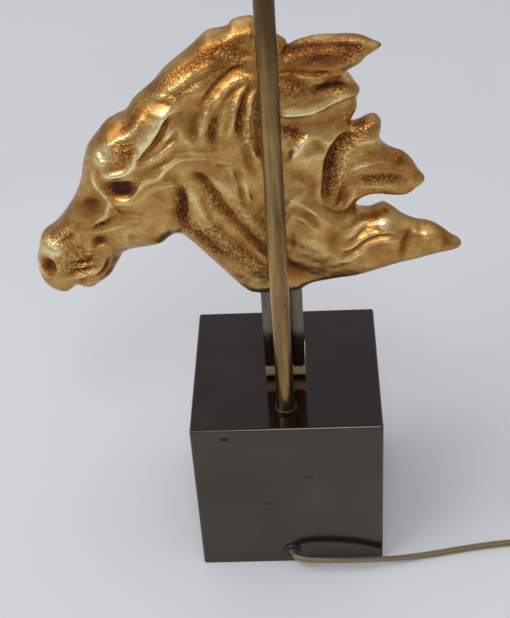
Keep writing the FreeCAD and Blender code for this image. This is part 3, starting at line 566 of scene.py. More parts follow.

# Smooth colour, patina and painted light: brown where the strength is positive, mostly patina in the hollows
# with painted shade in a few places; rubbed bright where it is negative, worn high spots painted lighter as
# highlights
PATINA_AND_PAINTED_LIGHT = [
    (1.5, 8, [(-123, 282), (-118, 278), (-112, 275)]),
    (2.2, 4.2, [(-105, 290.5), (-90, 290)]),
    (2.0, 3.8, [(-103, 286), (-90, 285.5)]),
    (1.3, 4.4, [(-152.5, 236), (-151, 227)]),
    (2.0, 3.2, [(-119.5, 249.8), (-112, 250.2)]),
    (1.0, 1.8, [(-119, 225), (-111, 235)]),
    (0.6, 2.5, 5, [(-61, 290), (-61, 276), (-62, 262)]),
    (1.2, 3, [(-51, 298), (-42, 293)]),
    (0.7, 4, [(-34, 272), (-22, 255), (-8, 239), (2, 228)]),
    # painted shade beside the rod
    (0.7, 5, [(-14, 306), (-12, 294)]),
    (0.5, 2, [(-54, 342), (-63, 337), (-71, 322)]),
    (0.65, 12, [(-50, 374), (-30, 380), (-10, 380)]),
    (0.5, 9, [(-40, 356), (-28, 362), (-12, 352)]),
    (0.7, 3.5, [(-44, 342), (-48, 333), (-49, 322)]),
    (0.7, 3, [(-33, 340), (-37, 326), (-37, 318)]),
    (0.6, 3, [(-20, 348), (-21, 330), (-20, 318)]),
    (1.3, 10, [(4, 375), (20, 376), (36, 378), (50, 380)]),
    (1.1, 8, [(4, 360), (20, 358), (36, 358), (46, 358)]),
    (0.8, 3, [(26, 353), (36, 355), (46, 353)]),
    (0.6, 4, [(26, 317), (31, 313)]),
    (0.5, 6, [(6, 296), (18, 292), (26, 280)]),
    (1.0, 5, 1.5, [(45, 322), (37, 313), (32, 300), (31, 286), (32, 274)]),
    (0.6, 7, [(64, 312), (76, 302), (82, 296)]),
    (0.8, 4, [(42, 282), (38, 270)]),
    (0.6, 3, [(30, 270), (38, 265), (50, 269)]),
    (0.5, 6, [(34, 250), (36, 236)]),
    (0.4, 4, [(4, 266), (18, 264), (28, 256)]),
    (1.0, 6, [(0, 232), (8, 224), (18, 217)]),
    (1.3, 3.0, 3.5, [(79, 231), (80, 242), (84, 252)]),
    (1.2, 4, [(105, 243), (111, 243)]),
    (0.9, 1.6, [(78, 262), (90, 259), (100, 255), (107, 249)]),
    (0.9, 1.4, [(38, 389), (48, 388.5), (56, 386)]),
    (0.4, 6, [(52, 292), (66, 291), (80, 296)]),
    (0.8, 3.5, [(60, 265), (63, 261)]),
    (0.6, 4, [(76, 303), (79, 300)]),
    # rubbed bright spots from here on, painted lighter as highlights
    (-1.6, 7.5, [(-152, 254), (-147, 247), (-143, 240)]),
    (-0.5, 8, [(-142, 234), (-132, 235), (-122, 239)]),
    (-1.0, 1.5, [(-157, 238), (-157.5, 231), (-154, 224)]),
    (-0.8, 2, [(-136, 222.5), (-126, 225.5), (-117, 228.5)]),
    (-0.5, 7, 4, [(-150, 217), (-140, 218)]),
    (-1.5, 1.6, [(-107, 300.3), (-100, 299.8), (-93, 301), (-88, 305.5), (-84, 312)]),
    (-1.3, 1.8, [(-106, 297.6), (-98, 296.8), (-90, 297)]),
    (-1.5, 5.5, 2.4, [(-84, 313), (-76, 322), (-70, 331), (-65, 339), (-56, 344)]),
    (-1.8, 5.5, [(-110, 316), (-106, 313), (-105, 307)]),
    (-0.9, 3, [(-104, 316), (-98, 318)]),
    (-0.7, 1.6, [(-110, 318), (-100, 322.5), (-88, 328.5), (-80, 337)]),
    (-0.8, 1.4, [(-112.5, 303), (-113, 295), (-109, 286), (-105.5, 281), (-108, 273), (-118, 263)]),
    (-0.9, 1.6, [(-100, 282), (-92, 283), (-86, 288.5), (-80, 294), (-72, 297), (-65, 305), (-54, 309.5)]),
    (-0.5, 3, [(-100, 279.5), (-88, 279.5), (-80, 286)]),
    (-0.9, 2.2, [(-76, 308.5), (-68, 314), (-62, 319)]),
    (-1.0, 2.4, [(-66, 323), (-62, 331)]),
    (-0.5, 6, [(-84, 268), (-82, 260)]),
    (0.8, 5, [(-64, 276), (-63, 262)]),
    (-0.4, 2.5, [(-52, 286), (-48, 272)]),
    (-1.3, 2.2, [(-76, 361), (-54, 378), (-40, 390), (-24, 396), (-8, 399)]),
    (-0.6, 3, [(-56, 359), (-44, 367)]),
    (-0.8, 2.5, [(-28, 355), (-19, 362), (-13, 361)]),
    (-0.6, 2, [(-27, 324), (-23, 336), (-19, 350)]),
    (-0.7, 2.5, [(-11, 346), (-13, 332), (-12, 320)]),
    (-0.7, 3, [(-21, 292), (-17, 281)]),
    (-1.7, 3.4, [(5, 338), (14, 337.5), (24, 338.5), (30, 340)]),
    (-0.4, 3, [(32, 342), (46, 346)]),
    (-1.7, 2.8, [(11, 309), (15, 314), (20, 319)]),
    (-0.4, 7, [(16, 306), (26, 304), (26, 328)]),
    (-0.9, 2.8, [(52, 317), (63, 317)]),
    (-0.8, 2.0, [(48, 297), (58, 301)]),
    (-0.8, 2.0, [(22, 387), (37, 388.5)]),
    (-0.9, 2.0, [(57, 383), (64, 382)]),
    (-0.5, 2.0, [(43, 363), (49, 357)]),
    (-1.5, 5.5, [(63, 255), (70, 260)]),
    (-0.7, 2.2, [(38, 229), (46, 231), (54, 237)]),
    (-0.7, 2.0, [(42, 237), (52, 243), (60, 248), (72, 249)]),
    (-0.6, 1.8, [(43, 248), (50, 252), (57, 266)]),
    (-0.5, 4, [(88, 250), (98, 250)]),
    (-0.5, 1.8, [(46, 270), (49, 280)]),
    (-0.4, 2.5, [(10, 275), (18, 284)]),
]  # fmt: skip


def bumps(x, z, spots):
    """The sum of soft oval spots (x, z, half-width, half-height, lean in degrees, amount)."""
    total = np.zeros(x.shape)
    for cx, cz, w, h, lean, amount in spots:
        c, s = math.cos(math.radians(lean)), math.sin(math.radians(lean))
        u, v = (x - cx) * c + (z - cz) * s, (z - cz) * c - (x - cx) * s
        total += amount * np.exp(-(((u / w) ** 2 + (v / h) ** 2) ** 1.4))
    return total


def strokes(x, z, lines):
    """The relief made by soft ridges and grooves along drawn lines, tapered at both ends."""
    total = np.zeros(x.shape)
    for height, *widths, points in lines:
        left, right = widths[0], widths[-1]
        line = curve_through(points)
        reach = 3 * max(left, right)
        low, high = line.min(0) - reach, line.max(0) + reach
        near = (x > low[0]) & (x < high[0]) & (z > low[1]) & (z < high[1])
        away, side, along, length = nearest(x[near], z[near], line)
        width = np.where(side > 0, left, right)
        end = min(0.35 * length, 9.0)
        taper = np.clip(np.minimum(along, length - along) / end, 0, 1)
        taper = 0.25 + 0.75 * np.sin(0.5 * math.pi * taper)
        total[near] += height * taper * np.exp(-((away / width) ** 1.8))
    return total


def rough_skin(x, z, size, seed):
    """Smooth random waves about size across, the same each run."""
    waves = np.random.default_rng(seed)
    total = np.zeros(x.shape)
    for _ in range(24):
        turn, phase = waves.uniform(0, 2 * math.pi, 2)
        pitch = 2 * math.pi / (size * waves.uniform(0.7, 1.6))
        total += np.sin(pitch * (x * math.cos(turn) + z * math.sin(turn)) + phase)
    return total / 12**0.5


def casting_maps():
    """Maps over the casting's upright middle plane: distance to the edge, rounding, depth, sway, colours."""
    xs = np.arange(GRID_X[0], GRID_X[1], GRID)
    zs = np.arange(GRID_Z[0], GRID_Z[1], GRID)
    x, z = np.meshgrid(xs, zs, indexing="ij")
    edge = curve_through(OUTLINE, closed=True, steps=4)
    loop = np.vstack([edge, edge[:1]])
    away, _, _, _ = nearest(x, z, loop)
    inside = np.zeros(x.shape, bool)
    for (ax, az), (bx, bz) in zip(loop, loop[1:]):
        crosses = (az > z) != (bz > z)
        if az != bz:
            inside ^= crosses & (x < ax + (z - az) * (bx - ax) / (bz - az))
    distance = np.where(inside, away, -away)

    near = np.zeros(x.shape)
    depth = np.zeros(x.shape)
    for cx, cz, half in DEPTHS:
        weight = np.exp(-0.5 * ((x - cx) ** 2 + (z - cz) ** 2) / DEPTH_REACH**2) + 1e-9
        near += weight
        depth += weight * half
    depth /= near
    sway = bumps(x, z, [(cx, cz, reach, reach, 0, amount) for cx, cz, reach, amount in SWAYS])

    rounding = np.clip(ROUND_SHARE * depth, *ROUND_LIMITS)
    inner = np.clip(1 - distance / rounding, 0, 1)
    flat = np.sqrt(1 - inner**2)
    falls = np.gradient(distance, GRID, axis=1)
    under = np.clip(0.5 + 1.5 * blur(falls, 3 / GRID), 0, 1)
    front = HEAD_Y - depth * (flat + (1 - flat) * under)
    throw = (DRAWN_Y - EYE_Y) / (front - EYE_Y)
    seen_x = EYE_X + (x - EYE_X) * throw
    seen_z = EYE_Z + (z - EYE_Z) * throw
    relief = strokes(seen_x, seen_z, FACE_RELIEF + MANE_RELIEF) - bumps(seen_x, seen_z, PITS)
    stipple = strokes(seen_x, seen_z, STIPPLE)
    patina_and_painted_light = strokes(seen_x, seen_z, PATINA_AND_PAINTED_LIGHT)
    for height, size, seed in SKIN_WAVES:
        relief += height * rough_skin(seen_x, seen_z, size, seed)
    height, size, seed = SKIN_GRAIN
    relief += height * rough_skin(seen_x, seen_z, size, seed) * np.clip(stipple, 0.15, 1)
    relief = np.minimum(relief, DEEPEST - DEEPEST_FALL * np.abs(x) - depth)
    cavity = sum(weight * (blur(relief, reach / GRID) - relief) for weight, reach in CAVITY_REACHES)
    cavity = np.clip(cavity, -2.0, 3.0)
    colours = {"cavity": cavity, "stipple": stipple, "patina_and_painted_light": patina_and_painted_light}
    return xs, zs, distance + EDGE_RELIEF * relief * inner, rounding, depth + relief * flat, sway, colours


def surface_net(field):
    """Points (in grid steps) and quads on the zero surface of a field that is negative inside."""
    inside = field < 0
    shape = tuple(n - 1 for n in field.shape)
    corners = [(i, j, k) for i in (0, 1) for j in (0, 1) for k in (0, 1)]
    count = np.zeros(shape, np.int8)
    for i, j, k in corners:
        count += inside[i : i + shape[0], j : j + shape[1], k : k + shape[2]]
    cell = np.argwhere((count > 0) & (count < 8))
    number = np.full(shape, -1)
    number[tuple(cell.T)] = np.arange(len(cell))
    value = {c: field[tuple((cell + c).T)] for c in corners}
    total = np.zeros((len(cell), 3))
    hits = np.zeros(len(cell))
    for a in corners:
        for axis in range(3):
            if a[axis]:
                continue
            b = tuple(1 if k == axis else a[k] for k in range(3))
            crossing = (value[a] < 0) != (value[b] < 0)
            share = np.where(crossing, value[a] / np.where(crossing, value[a] - value[b], 1), 0)
            point = np.array(a, float)[None, :] + share[:, None] * np.eye(3)[axis][None, :]
            total += point * crossing[:, None]
            hits += crossing
    points = cell + total / hits[:, None]
    quads = []
    for axis in range(3):
        u, v = np.eye(3, dtype=int)[(axis + 1) % 3], np.eye(3, dtype=int)[(axis + 2) % 3]
        first = np.take(inside, range(0, field.shape[axis] - 1), axis=axis)
        second = np.take(inside, range(1, field.shape[axis]), axis=axis)
        for leaving in (True, False):
            at = np.argwhere((first & ~second) if leaving else (~first & second))
            loop = [number[tuple(p.T)] for p in (at, at - u, at - u - v, at - v)]
            quads.append(np.stack(loop if leaving else loop[::-1], axis=1))
    return points, np.vstack(quads)


def smooth_points(points, quads, rounds):
    """A few rounds of gentle smoothing that doesn't shrink the shape."""
    a = quads.ravel()
    b = np.roll(quads, -1, axis=1).ravel()
    ends = np.concatenate([a, b])
    others = np.concatenate([b, a])
    count = np.bincount(ends, minlength=len(points))[:, None]
    for _ in range(rounds):
        for share in (0.5, -0.52):
            total = np.stack([np.bincount(ends, points[others, k], len(points)) for k in range(3)], axis=1)
            points = points + share * (total / count - points)
    return points


def sample(field, u, v):
    """A 2-D map read at grid places u, v."""
    i = np.clip(u.astype(int), 0, field.shape[0] - 2)
    j = np.clip(v.astype(int), 0, field.shape[1] - 2)
    s, t = u - i, v - j
    low = field[i, j] * (1 - s) + field[i + 1, j] * s
    high = field[i, j + 1] * (1 - s) + field[i + 1, j + 1] * s
    return low * (1 - t) + high * t


# The wells of the two screws in the casting's far side: their heights, the seat's y and the radius
SCREW_HEIGHTS = (228.0, 246.0)
SCREW_SEAT = 3.9
SCREW_WELL = 4.7
SMOOTHING_ROUNDS = 2


def horse_head():
    """The cast head as one skin over its CAD solid, with a well for each of its two screws at the back."""
    xs, zs, distance, rounding, depth, sway, colours = casting_maps()
    ys = np.arange(GRID_Y[0], GRID_Y[1], GRID)
    edge = np.maximum(0, 1 - distance / rounding)
    middle = HEAD_Y + sway
    field = np.empty((len(xs), len(ys), len(zs)))
    for j, y in enumerate(ys):
        field[:, j] = np.sqrt(((y - middle) / depth) ** 2 + edge**2) - 1
        if y > SCREW_SEAT - 3:
            for height in SCREW_HEIGHTS:
                away = np.hypot(xs[:, None], zs[None, :] - height)
                well = np.minimum(SCREW_WELL - away, y - SCREW_SEAT) / 6
                field[:, j] = np.maximum(field[:, j], well)
    points, quads = surface_net(field)
    points = smooth_points(points, quads, SMOOTHING_ROUNDS)
    u, v = points[:, 0], points[:, 2]
    low = np.array([GRID_X[0], GRID_Y[0], GRID_Z[0]])
    place = (points * GRID + low) * MM
    layers = {name: sample(values, u, v).astype(np.float32) for name, values in colours.items()}
    obj = add_mesh("horse_head_skin", place.tolist(), quads.tolist(), cast_brass(), layers)
    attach(obj, "stand")
    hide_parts("horse_head")


# Darkening is 0 on rubbed brass with painted highlights and 1 in black hollows with painted shade: what
# plain skin has, and what each map adds
PLAIN_DARKENING = 0.36
DARKENING_SHARES = {"cavity": 0.13, "stipple": 0.20, "patina_and_painted_light": 0.20}


def cast_brass():
    """Gilded brass rubbed bright on the high spots, which also carry painted highlights, over brown
    patinated hollows, stippled there, some of them darkened further as painted shade.
    """
    material, tree, shader = new_material("cast_brass", metallic=1.0)
    cloud = noise(tree, scale=55, detail=4, rough=0.6, twist=0.4)
    fleck = noise(tree, scale=640, detail=2, rough=0.6)
    grain = cells(tree, scale=700)
    spotted = span(tree, attribute(tree, "stipple"), 0.0, 0.9, 0.12, 1.0)
    # Besides the patina, the smooth colour map among these carries painted highlights and some painted
    # shade.
    added = [sums(tree, "MULTIPLY", attribute(tree, name), share) for name, share in DARKENING_SHARES.items()]
    clouds = span(tree, cloud, 0.3, 0.7, -0.09, 0.09)
    specks = sums(tree, "MULTIPLY", span(tree, fleck, 0.35, 0.65, -0.28, 0.28), spotted)
    darkening_with_painted_light = total_of(tree, PLAIN_DARKENING, *added, clouds, specks, clamp=True)
    stops = [
        (0.0, (0.95, 0.78, 0.44)),
        (0.20, (0.69, 0.45, 0.165)),
        (0.40, (0.46, 0.235, 0.065)),
        (0.62, (0.300, 0.115, 0.026)),
        (0.84, (0.150, 0.055, 0.022)),
        (1.0, (0.075, 0.029, 0.020)),
    ]
    tree.links.new(ramp(tree, darkening_with_painted_light, stops), shader.inputs["Base Color"])
    tree.links.new(ramp(tree, darkening_with_painted_light, [(0.0, 0.26), (0.4, 0.36), (1.0, 0.55)]), shader.inputs["Roughness"])
    pits = sums(tree, "MULTIPLY", span(tree, grain, 0.0, 0.6), spotted)
    specked = sums(tree, "MULTIPLY", sums(tree, "MULTIPLY", fleck, 0.8), spotted)
    bump(tree, shader, sums(tree, "ADD", pits, specked), 0.7, 0.0008)
    return material


# ---------------------------------------------------------------- the cord

CORD = 0.0056
LOBE = CORD / 4
WAIST = LOBE * 0.72
LOBE_POINTS = 9
# Its lean off its edge: how much, and over how long a run; then how it turns flat before the plug
LEAN = 0.30
LEAN_RUN = 0.12
FLATTEN_FROM = 0.045
FLAT_BEFORE = 0.018
# How much the coil's radius wavers
WAVER = 0.0003
EXIT = (0.0, -0.0666, 0.0116)
CORD_ROUTE = [
    EXIT,
    (0.0012, -0.0715, 0.0117),
    (0.0080, -0.0745, 0.0120),
    (0.0230, -0.0757, 0.0118),
    (0.0480, -0.0745, 0.0101),
    (0.0760, -0.0695, 0.0052),
    (0.1040, -0.0634, 0.0029),
    (0.1340, -0.0576, 0.0029),
    (0.1640, -0.0540, 0.0029),
    (0.1940, -0.0535, 0.0034),
]
TAIL_ROUTE = [
    (0.2505, -0.0130, 0.0092),
    (0.2507, -0.0030, 0.0087),
    (0.2520, 0.0090, 0.00685),
    (0.2520, 0.0290, 0.00685),
]
COIL_CENTRE = (0.212, -0.015)
TURN_IN = 0.0265
TURN_OUT = 0.0385
LOW_LAYER = 0.0035
HIGH_LAYER = 0.0093
LOW_TURNS = 3.6
HIGH_TURNS = 3.65
STEPS_PER_TURN = 16


def coil_points():
    """The turns of the coil: spiralling in on the table, up at the inside, and out again on top."""
    turns = LOW_TURNS + HIGH_TURNS
    steps = int(turns * STEPS_PER_TURN)
    points = []
    for k in range(1, steps):
        done = turns * k / steps
        angle = -math.pi / 2 + 2 * math.pi * done
        if done < LOW_TURNS:
            radius = TURN_OUT + (TURN_IN - TURN_OUT) * done / LOW_TURNS
        else:
            radius = TURN_IN + (TURN_OUT - TURN_IN) * (done - LOW_TURNS) / HIGH_TURNS
        climb = min(1, max(0, (done - LOW_TURNS + 0.35) / 0.7))
        height = LOW_LAYER + (HIGH_LAYER - LOW_LAYER) * climb * climb * (3 - 2 * climb)
        radius += WAVER * math.sin(5 * angle + 2 * done)
        x = COIL_CENTRE[0] + radius * math.cos(angle)
        y = COIL_CENTRE[1] + radius * math.sin(angle)
        points.append((x, y, height))
    return points


def cord_line():
    """Points read along the cord's smooth line, about a millimetre apart."""
    points = CORD_ROUTE + coil_points() + TAIL_ROUTE
    data = bpy.data.curves.new("cord_route", "CURVE")
    data.dimensions = "3D"
    data.resolution_u = 12
    spline = data.splines.new("NURBS")
    spline.points.add(len(points) - 1)
    for point, place in zip(spline.points, points):
        point.co = (*place, 1)
    spline.order_u = 3
    spline.use_endpoint_u = True
    guide = bpy.data.objects.new("cord_route", data)
    bpy.context.scene.collection.objects.link(guide)
    mesh = bpy.data.meshes.new_from_object(guide)
    line = [v.co.copy() for v in mesh.vertices]
    bpy.data.meshes.remove(mesh)
    bpy.data.objects.remove(guide)
    return line


def cord_section():
    """The flat twin cord's outline, (across its width, across its thickness): two round lobes."""
    turn_in = math.acos(0.35)
    section = []
    for lobe in (1, -1):
        for k in range(LOBE_POINTS):
            angle = (turn_in - math.pi) + k * (2 * math.pi - 2 * turn_in) / (LOBE_POINTS - 1)
            section.append((lobe * (LOBE + LOBE * math.cos(angle)), lobe * LOBE * math.sin(angle)))
        section.append((0.0, lobe * WAIST))
    return section


def cord():
    """The flat twin cord from the grommet to the plug, lying on its edge and flat at the plug."""
    line = cord_line()
    section = cord_section()
    total = sum((b - a).length for a, b in zip(line, line[1:]))
    verts, faces, across, along = [], [], [], []
    gone = 0.0
    last = line[0]
    for i, here in enumerate(line):
        ahead = (line[min(i + 1, len(line) - 1)] - line[max(i - 1, 0)]).normalized()
        gone += (here - last).length
        last = here
        side = ahead.cross(Vector((0, 0, 1))).normalized()
        rise = side.cross(ahead).normalized()
        lean = LEAN * math.sin(math.pi * min(1, gone / LEAN_RUN))
        left = max(0.0, (gone - (total - FLATTEN_FROM)) / (FLATTEN_FROM - FLAT_BEFORE))
        lean += 0.5 * math.pi * min(1.0, left) ** 2
        width = rise * math.cos(lean) + side * math.sin(lean)
        thick = side * math.cos(lean) - rise * math.sin(lean)
        for w, t in section:
            verts.append(here + width * w + thick * t)
            across.append(w / (CORD / 2))
            along.append(gone)
    size = len(section)
    for i in range(len(line) - 1):
        for j in range(size):
            k = (j + 1) % size
            faces.append((i * size + j, i * size + k, (i + 1) * size + k, (i + 1) * size + j))
    faces.append(tuple(range(size))[::-1])
    faces.append(tuple((len(line) - 1) * size + j for j in range(size)))
    obj = add_mesh("flat_cord", verts, faces, cord_pvc(), {"across": across, "along": along})
    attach(obj, "stand")
    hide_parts("cord", "cord_coil", "cord_to_plug")


def cord_pvc():
    """Clear gold PVC over two stranded copper cores."""
    material, tree, shader = new_material("cord_pvc", roughness=0.28)
    across = attribute(tree, "across")
    along = attribute(tree, "along")
    from_core = sums(tree, "ABSOLUTE", sums(tree, "SUBTRACT", sums(tree, "ABSOLUTE", across), 0.5))
    lay = sums(tree, "ADD", sums(tree, "MULTIPLY", along, 900), sums(tree, "MULTIPLY", across, 9))
    strand = span(tree, sums(tree, "SINE", lay), -1, 1)
    core = ramp(tree, strand, [(0.0, (0.215, 0.145, 0.055)), (1.0, (0.275, 0.190, 0.075))])
    share = span(tree, from_core, 0.22, 0.42)
    colour = mix(tree, share, core, (0.13, 0.092, 0.038))
    smear = noise(tree, scale=60, detail=3)
    colour = mix(tree, span(tree, smear, 0.4, 0.75, 0.0, 0.5), colour, (0.22, 0.16, 0.07))
    tree.links.new(colour, shader.inputs["Base Color"])
    shader.inputs["Metallic"].default_value = 0.35
    shader.inputs["Coat Weight"].default_value = 0.6
    shader.inputs["Coat Roughness"].default_value = 0.18
    bump(tree, shader, strand, 0.04, 0.0002)
    return material


# ---------------------------------------------------------------- materials of the CAD pieces


def bronze_sheet():
    """Dark patinated bronze on folded sheet under a clear lacquer, with a few small dents; the top is
    painted darker and redder than the sides, partly its own colour and partly painted shade, and the dents
    on the sides are painted near-black as their shade.
    """
    material, tree, shader = new_material("bronze_sheet", metallic=0.85)
    shader.inputs["Coat Weight"].default_value = 0.45
    shader.inputs["Coat Roughness"].default_value = 0.07
    cloud = noise(tree, scale=14, detail=5, rough=0.6, twist=0.6)
    greens = [(0.3, (0.050, 0.042, 0.030)), (0.55, (0.064, 0.053, 0.038)), (0.75, (0.080, 0.064, 0.044))]
    reds = [(0.3, (0.012, 0.005, 0.003)), (0.7, (0.026, 0.014, 0.010))]
    split = add_node(tree, "SeparateXYZ")
    tree.links.new(add_node(tree, "NewGeometry").outputs["Normal"], split.inputs[0])
    upward = span(tree, split.outputs["Z"], 0.8, 0.98)
    marks = span(tree, cells(tree, 30, stretch=(0.7, 0.7, 1.5)), 0.056, 0.112, 1.0, 0.0)
    marks = sums(tree, "MULTIPLY", marks, sums(tree, "SUBTRACT", 1.0, upward))
    # The top faces take a far darker, redder colour than the sides: partly the sheet's own red-brown, partly
    # painted shade.
    colour = mix(tree, upward, ramp(tree, cloud, greens), ramp(tree, cloud, reds))
    # Painted shade: the dents on the sides are painted near-black.
    colour = mix(tree, marks, colour, (0.006, 0.005, 0.004))
    tree.links.new(colour, shader.inputs["Base Color"])
    smear = noise(tree, scale=25, detail=4, rough=0.6)
    side_gloss = span(tree, smear, 0.3, 0.7, 0.14, 0.22)
    top_gloss = span(tree, smear, 0.3, 0.7, 0.10, 0.16)
    tree.links.new(mix(tree, upward, side_gloss, top_gloss), shader.inputs["Roughness"])
    wave = noise(tree, scale=7, detail=1)
    bump(tree, shader, sums(tree, "SUBTRACT", wave, marks), 0.25, 0.002)
    return material


# Heights in the strap: the cube's top, how far above it the brass shows, and where the painted red-brown
# reflection of the cube's top fades out
STRAP_FOOT = 0.130
STRAP_WORN = 0.0105
STRAP_REFLECTION = (0.150, 0.168)


def bronze_strap():
    """Polished olive bronze with brass showing through at the strap's bend, and a painted red-brown
    reflection of the cube's top low down.
    """
    material, tree, shader = new_material("bronze_strap", metallic=1.0)
    height = object_axes(tree)["Z"]
    ragged = span(tree, noise(tree, scale=300, detail=3), 0.3, 0.7, -0.0015, 0.0015)
    above_foot = sums(tree, "ADD", sums(tree, "SUBTRACT", height, STRAP_FOOT), ragged)
    worn = span(tree, above_foot, STRAP_WORN, STRAP_WORN + 0.0015, 1.0, 0.0)
    streak = noise(tree, scale=60, detail=4, stretch=(6, 6, 0.5))
    dark = ramp(tree, streak, [(0.3, (0.125, 0.100, 0.074)), (0.7, (0.195, 0.165, 0.125))])
    # Painted reflection: low down, the strap takes the red-brown of the cube's top that it mirrors.
    low = span(tree, height, *STRAP_REFLECTION, 1.0, 0.0)
    dark = mix(tree, low, dark, (0.21, 0.10, 0.075))
    tree.links.new(mix(tree, worn, dark, (0.95, 0.76, 0.38)), shader.inputs["Base Color"])
    gloss = ramp(tree, streak, [(0.3, 0.10), (0.7, 0.18)])
    tree.links.new(mix(tree, worn, gloss, (0.55, 0.55, 0.55)), shader.inputs["Roughness"])
    return material


def aged_brass():
    """A brass tube with tarnished streaks along it, and painted shade that darkens it to one side and
    towards its top.
    """
    material, tree, shader = new_material("aged_brass", metallic=1.0)
    streak = noise(tree, scale=150, detail=4, stretch=(1, 1, 0.05), rough=0.6)
    fleck = noise(tree, scale=500, detail=3, stretch=(1, 1, 0.35), rough=0.7)
    cloud = noise(tree, scale=22, detail=3)
    place = object_axes(tree)
    tarnish_and_painted_shade = total_of(
        tree,
        span(tree, streak, 0.3, 0.7),
        span(tree, cloud, 0.3, 0.7, -0.2, 0.2),
        span(tree, fleck, 0.55, 0.75, 0.0, 0.35),
        # painted shade: darker towards the top
        span(tree, place["Z"], 0.34, 0.44, -0.08, 0.42),
        # painted shade: darker to the +X side
        span(tree, place["X"], -0.003, 0.0055, -0.22, 0.30),
        clamp=True,
    )
    colours = [(0.0, (0.44, 0.285, 0.11)), (0.45, (0.27, 0.168, 0.066)), (1.0, (0.11, 0.066, 0.028))]
    tree.links.new(ramp(tree, tarnish_and_painted_shade, colours), shader.inputs["Base Color"])
    tree.links.new(ramp(tree, tarnish_and_painted_shade, [(0.0, 0.16), (1.0, 0.32)]), shader.inputs["Roughness"])
    bump(tree, shader, fleck, 0.12, 0.0002)
    return material


def plain_metal(name, light, dark, roughness, size=120, stretch=(1, 1, 1)):
    """A metal whose colour and gloss wander a little."""
    material, tree, shader = new_material(name, metallic=1.0)
    cloud = noise(tree, scale=size, detail=4, stretch=stretch, rough=0.6)
    tree.links.new(ramp(tree, cloud, [(0.3, dark), (0.7, light)]), shader.inputs["Base Color"])
    spread = [(0.3, roughness * 1.25), (0.7, roughness * 0.85)]
    tree.links.new(ramp(tree, cloud, spread), shader.inputs["Roughness"])
    bump(tree, shader, noise(tree, scale=size * 6, detail=2), 0.08, 0.0002)
    return material


def plain_solid(name, light, dark, roughness, size=150, grain=0.15, coat=0.0):
    """A moulded or woven stuff whose colour wanders a little, with a fine grain."""
    material, tree, shader = new_material(name, roughness=roughness)
    cloud = noise(tree, scale=size, detail=4, rough=0.6)
    tree.links.new(ramp(tree, cloud, [(0.3, dark), (0.7, light)]), shader.inputs["Base Color"])
    shader.inputs["Coat Weight"].default_value = coat
    bump(tree, shader, noise(tree, scale=size * 8, detail=3), grain, 0.0003)
    return material


def felt():
    """Dark green wool felt."""
    material, tree, shader = new_material("felt", roughness=0.95)
    fibre = noise(tree, scale=900, detail=5, rough=0.7, twist=1.5)
    colour = ramp(tree, fibre, [(0.3, (0.012, 0.026, 0.015)), (0.7, (0.035, 0.065, 0.040))])
    tree.links.new(colour, shader.inputs["Base Color"])
    shader.inputs["Sheen Weight"].default_value = 0.4
    bump(tree, shader, fibre, 0.6, 0.0005)
    return material


def clear_glass():
    """The bulb's clear, slightly rippled glass."""
    material, tree, shader = new_material("bulb_glass", roughness=0.02, colour=(0.97, 0.98, 0.98))
    shader.inputs["Transmission Weight"].default_value = 1.0
    shader.inputs["IOR"].default_value = 1.5
    ripple = noise(tree, scale=30, detail=1)
    bump(tree, shader, ripple, 0.02, 0.001)
    return material


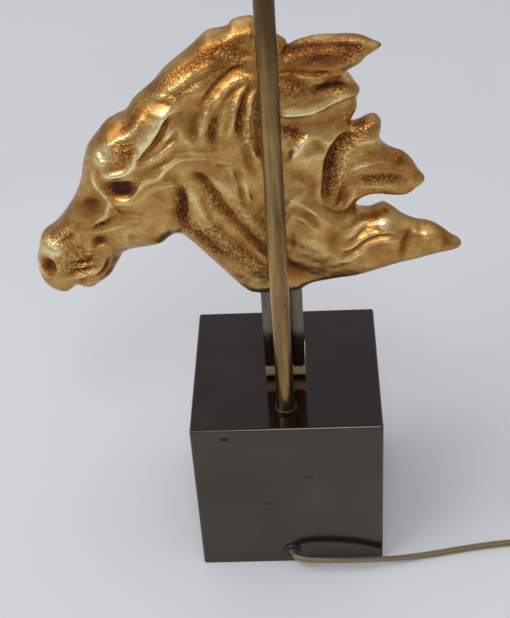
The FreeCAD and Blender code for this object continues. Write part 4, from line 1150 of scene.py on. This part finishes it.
# (light colour, dark colour, roughness, further settings)
METALS = {
    "zinc_steel": ((0.62, 0.62, 0.60), (0.42, 0.42, 0.40), 0.35, {}),
    "cast_iron": ((0.09, 0.085, 0.08), (0.03, 0.028, 0.026), 0.7, {"size": 60}),
    "pin_metal": ((0.68, 0.66, 0.62), (0.55, 0.53, 0.50), 0.25, {"stretch": (1, 0.2, 1)}),
    "holder_brass": ((0.70, 0.47, 0.17), (0.52, 0.33, 0.10), 0.24, {"size": 50}),
    "bulb_cap": ((0.70, 0.69, 0.66), (0.55, 0.54, 0.52), 0.32, {}),
    "solder": ((0.55, 0.55, 0.54), (0.40, 0.40, 0.40), 0.4, {"size": 300}),
    "tungsten": ((0.20, 0.20, 0.21), (0.12, 0.12, 0.13), 0.4, {"size": 800}),
}
SOLIDS = {
    "black_rubber": ((0.013, 0.012, 0.012), (0.007, 0.007, 0.007), 0.35, {}),
    "clamp_plastic": ((0.55, 0.50, 0.40), (0.45, 0.40, 0.31), 0.45, {}),
    "tie_vinyl": ((0.020, 0.020, 0.020), (0.010, 0.010, 0.010), 0.4, {}),
    "plug_pvc": ((0.22, 0.14, 0.05), (0.15, 0.095, 0.03), 0.32, {"coat": 0.4}),
    "sleeve_plastic": ((0.02, 0.02, 0.02), (0.01, 0.01, 0.01), 0.4, {}),
    "ceramic": ((0.72, 0.70, 0.64), (0.64, 0.62, 0.55), 0.5, {"grain": 0.08}),
    "core_insulation": ((0.35, 0.22, 0.07), (0.22, 0.13, 0.04), 0.35, {}),
    "bulb_insulator": ((0.02, 0.02, 0.025), (0.01, 0.01, 0.012), 0.12, {}),
}


def paint_cad_pieces():
    """Gives each CAD piece that stays a material with its own detail."""
    looks = {
        "bronze_sheet": bronze_sheet(),
        "bronze_strap": bronze_strap(),
        "cast_brass": cast_brass(),
        "aged_brass": aged_brass(),
        "felt": felt(),
        "cord_pvc": plain_solid("cord_inner_pvc", (0.20, 0.13, 0.045), (0.12, 0.075, 0.025), 0.3, coat=0.5),
        "bulb_glass": clear_glass(),
    }
    for kind, table in ((plain_metal, METALS), (plain_solid, SOLIDS)):
        for name, (light, dark, roughness, further) in table.items():
            looks[name] = kind(name, light, dark, roughness, **further)
    for part in frame["record"]["subparts"]:
        obj = NODES[part["node"]]
        obj.data.materials.clear()
        obj.data.materials.append(looks[part["material_slot"]])


# ---------------------------------------------------------------- the scene

bpy.context.scene.view_settings.view_transform = "Standard"
camera()
room()
floor()
softbox("key", (-1.9, -0.9, 2.6), target=(0, 0, 0.1), size=2.2, power=40, colour=(1.0, 0.98, 0.95))
softbox("front", (0.05, -1.05, 1.65), target=(0, 0, 0.2), size=0.4, power=4.6, colour=(1.0, 0.99, 0.97))
paint_cad_pieces()
horse_head()
cord()
